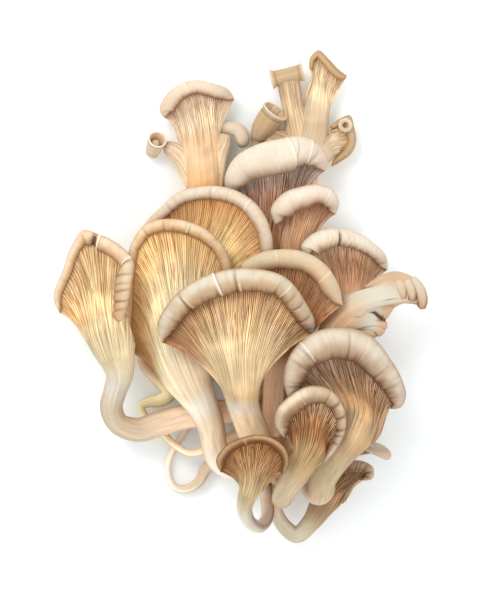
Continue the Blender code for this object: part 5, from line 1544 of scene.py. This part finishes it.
class Maker:
    """Shared work of the operators: each makes one piece, or the stage, from its own settings."""
    bl_options = {"REGISTER", "UNDO"}

    def execute(self, context):
        """Makes the piece; what can't be made raises an error."""
        self.make(getattr(context.scene.oyster_cluster, self.piece))
        return {"FINISHED"}


class MushroomMaker(Maker):
    """Shared work of the operators that make a mushroom."""

    def make(self, settings):
        grow_mushroom(self.piece, settings)


MUSHROOM_OPERATORS = [
    type("OYSTER_OT_" + piece, (MushroomMaker, bpy.types.Operator),
         {"__doc__": "Makes the " + what, "bl_idname": "oyster." + piece, "bl_label": label, "piece": piece})
    for piece, label, what in (
        ("cap_front_large", "Largest cap", "largest cap, in front of the middle"),
        ("cap_front_small", "Small looped cap", "small cap at the bottom, on its looped stem"),
        ("cap_right_small", "Upright small cap", "small upright cap at the right"),
        ("cap_right_large", "Broad right cap", "broad cap at the lower right"),
        ("cap_left_large", "Broad pale cap", "broad pale cap on the long thick stem"),
        ("cap_far_left", "Angular left cap", "angular cap at the far left"),
        ("cap_back_left", "Orange cap", "wide orange cap behind the pale one"),
        ("cap_back_centre", "Heavy-rimmed cap", "cap with the heavy rolled margin"),
        ("cap_upper_right", "Upper right cap", "small cap at the upper right"),
        ("cap_mid_right", "Drooping cap", "cap whose margin drops away at the right"),
        ("cap_centre_right", "Middle cap", "cap just behind the largest one"),
        ("cap_top_left", "Top left mushroom", "top left mushroom with its two curled arms"),
        ("cap_top_right", "Top right mushroom", "split mushroom at the top right"),
        ("cap_right_back_view", "Torn cap", "torn cap that shows its skin"),
        ("cap_low_right", "Low right cap", "low cap at the right, on its looped stem"),
        ("cap_low_right_sprout", "Thin young cap", "thin young cap at the lower right"),
        ("sprout_left", "Winding sprout", "young mushroom on the winding stem"),
        ("sprout_low_left", "Looping sprout", "young mushroom on the looping stem"),
    )
]


class OYSTER_OT_clump(Maker, bpy.types.Operator):
    """Makes the clump of fused flesh that the stems grow from"""
    bl_idname = "oyster.clump"
    bl_label = "Clump"
    piece = "clump"

    def make(self, settings):
        grow_clump(settings)


class OYSTER_OT_stage(Maker, bpy.types.Operator):
    """Makes the pale floor, the soft light and the camera"""
    bl_idname = "oyster.stage"
    bl_label = "Floor, light and camera"
    piece = "stage"

    def make(self, settings):
        set_stage(settings)


OPERATORS = (*MUSHROOM_OPERATORS, OYSTER_OT_clump, OYSTER_OT_stage)


class OYSTER_PT_cluster(bpy.types.Panel):
    """Lists the pieces of the cluster and their settings"""
    bl_idname = "OYSTER_PT_cluster"
    bl_label = "Oyster mushroom cluster"
    bl_space_type = "VIEW_3D"
    bl_region_type = "UI"
    bl_category = "Mushrooms"

    def draw(self, context):
        """Draws a box with a button and the settings of each piece."""
        for operator in OPERATORS:
            box = self.layout.box()
            box.operator(operator.bl_idname)
            group = getattr(context.scene.oyster_cluster, operator.piece)
            for key in group.__annotations__:
                box.prop(group, key)


CLASSES = (*MUSHROOM_SETTINGS.values(), OYSTER_PG_clump, OYSTER_PG_stage, OYSTER_PG_cluster,
           *OPERATORS, OYSTER_PT_cluster)


def register():
    """Registers the classes and hangs the settings on the scene."""
    for item in CLASSES:
        bpy.utils.register_class(item)
    bpy.types.Scene.oyster_cluster = PointerProperty(type=OYSTER_PG_cluster)


def unregister():
    """Takes the settings and the classes away again."""
    del bpy.types.Scene.oyster_cluster
    for item in reversed(CLASSES):
        bpy.utils.unregister_class(item)


def main():
    """Builds the whole cluster and writes the sizes of the solids and of the finished pieces."""
    register()
    for operator in OPERATORS:
        getattr(bpy.ops.oyster, operator.piece)()


if __name__ == "__main__":
    main()
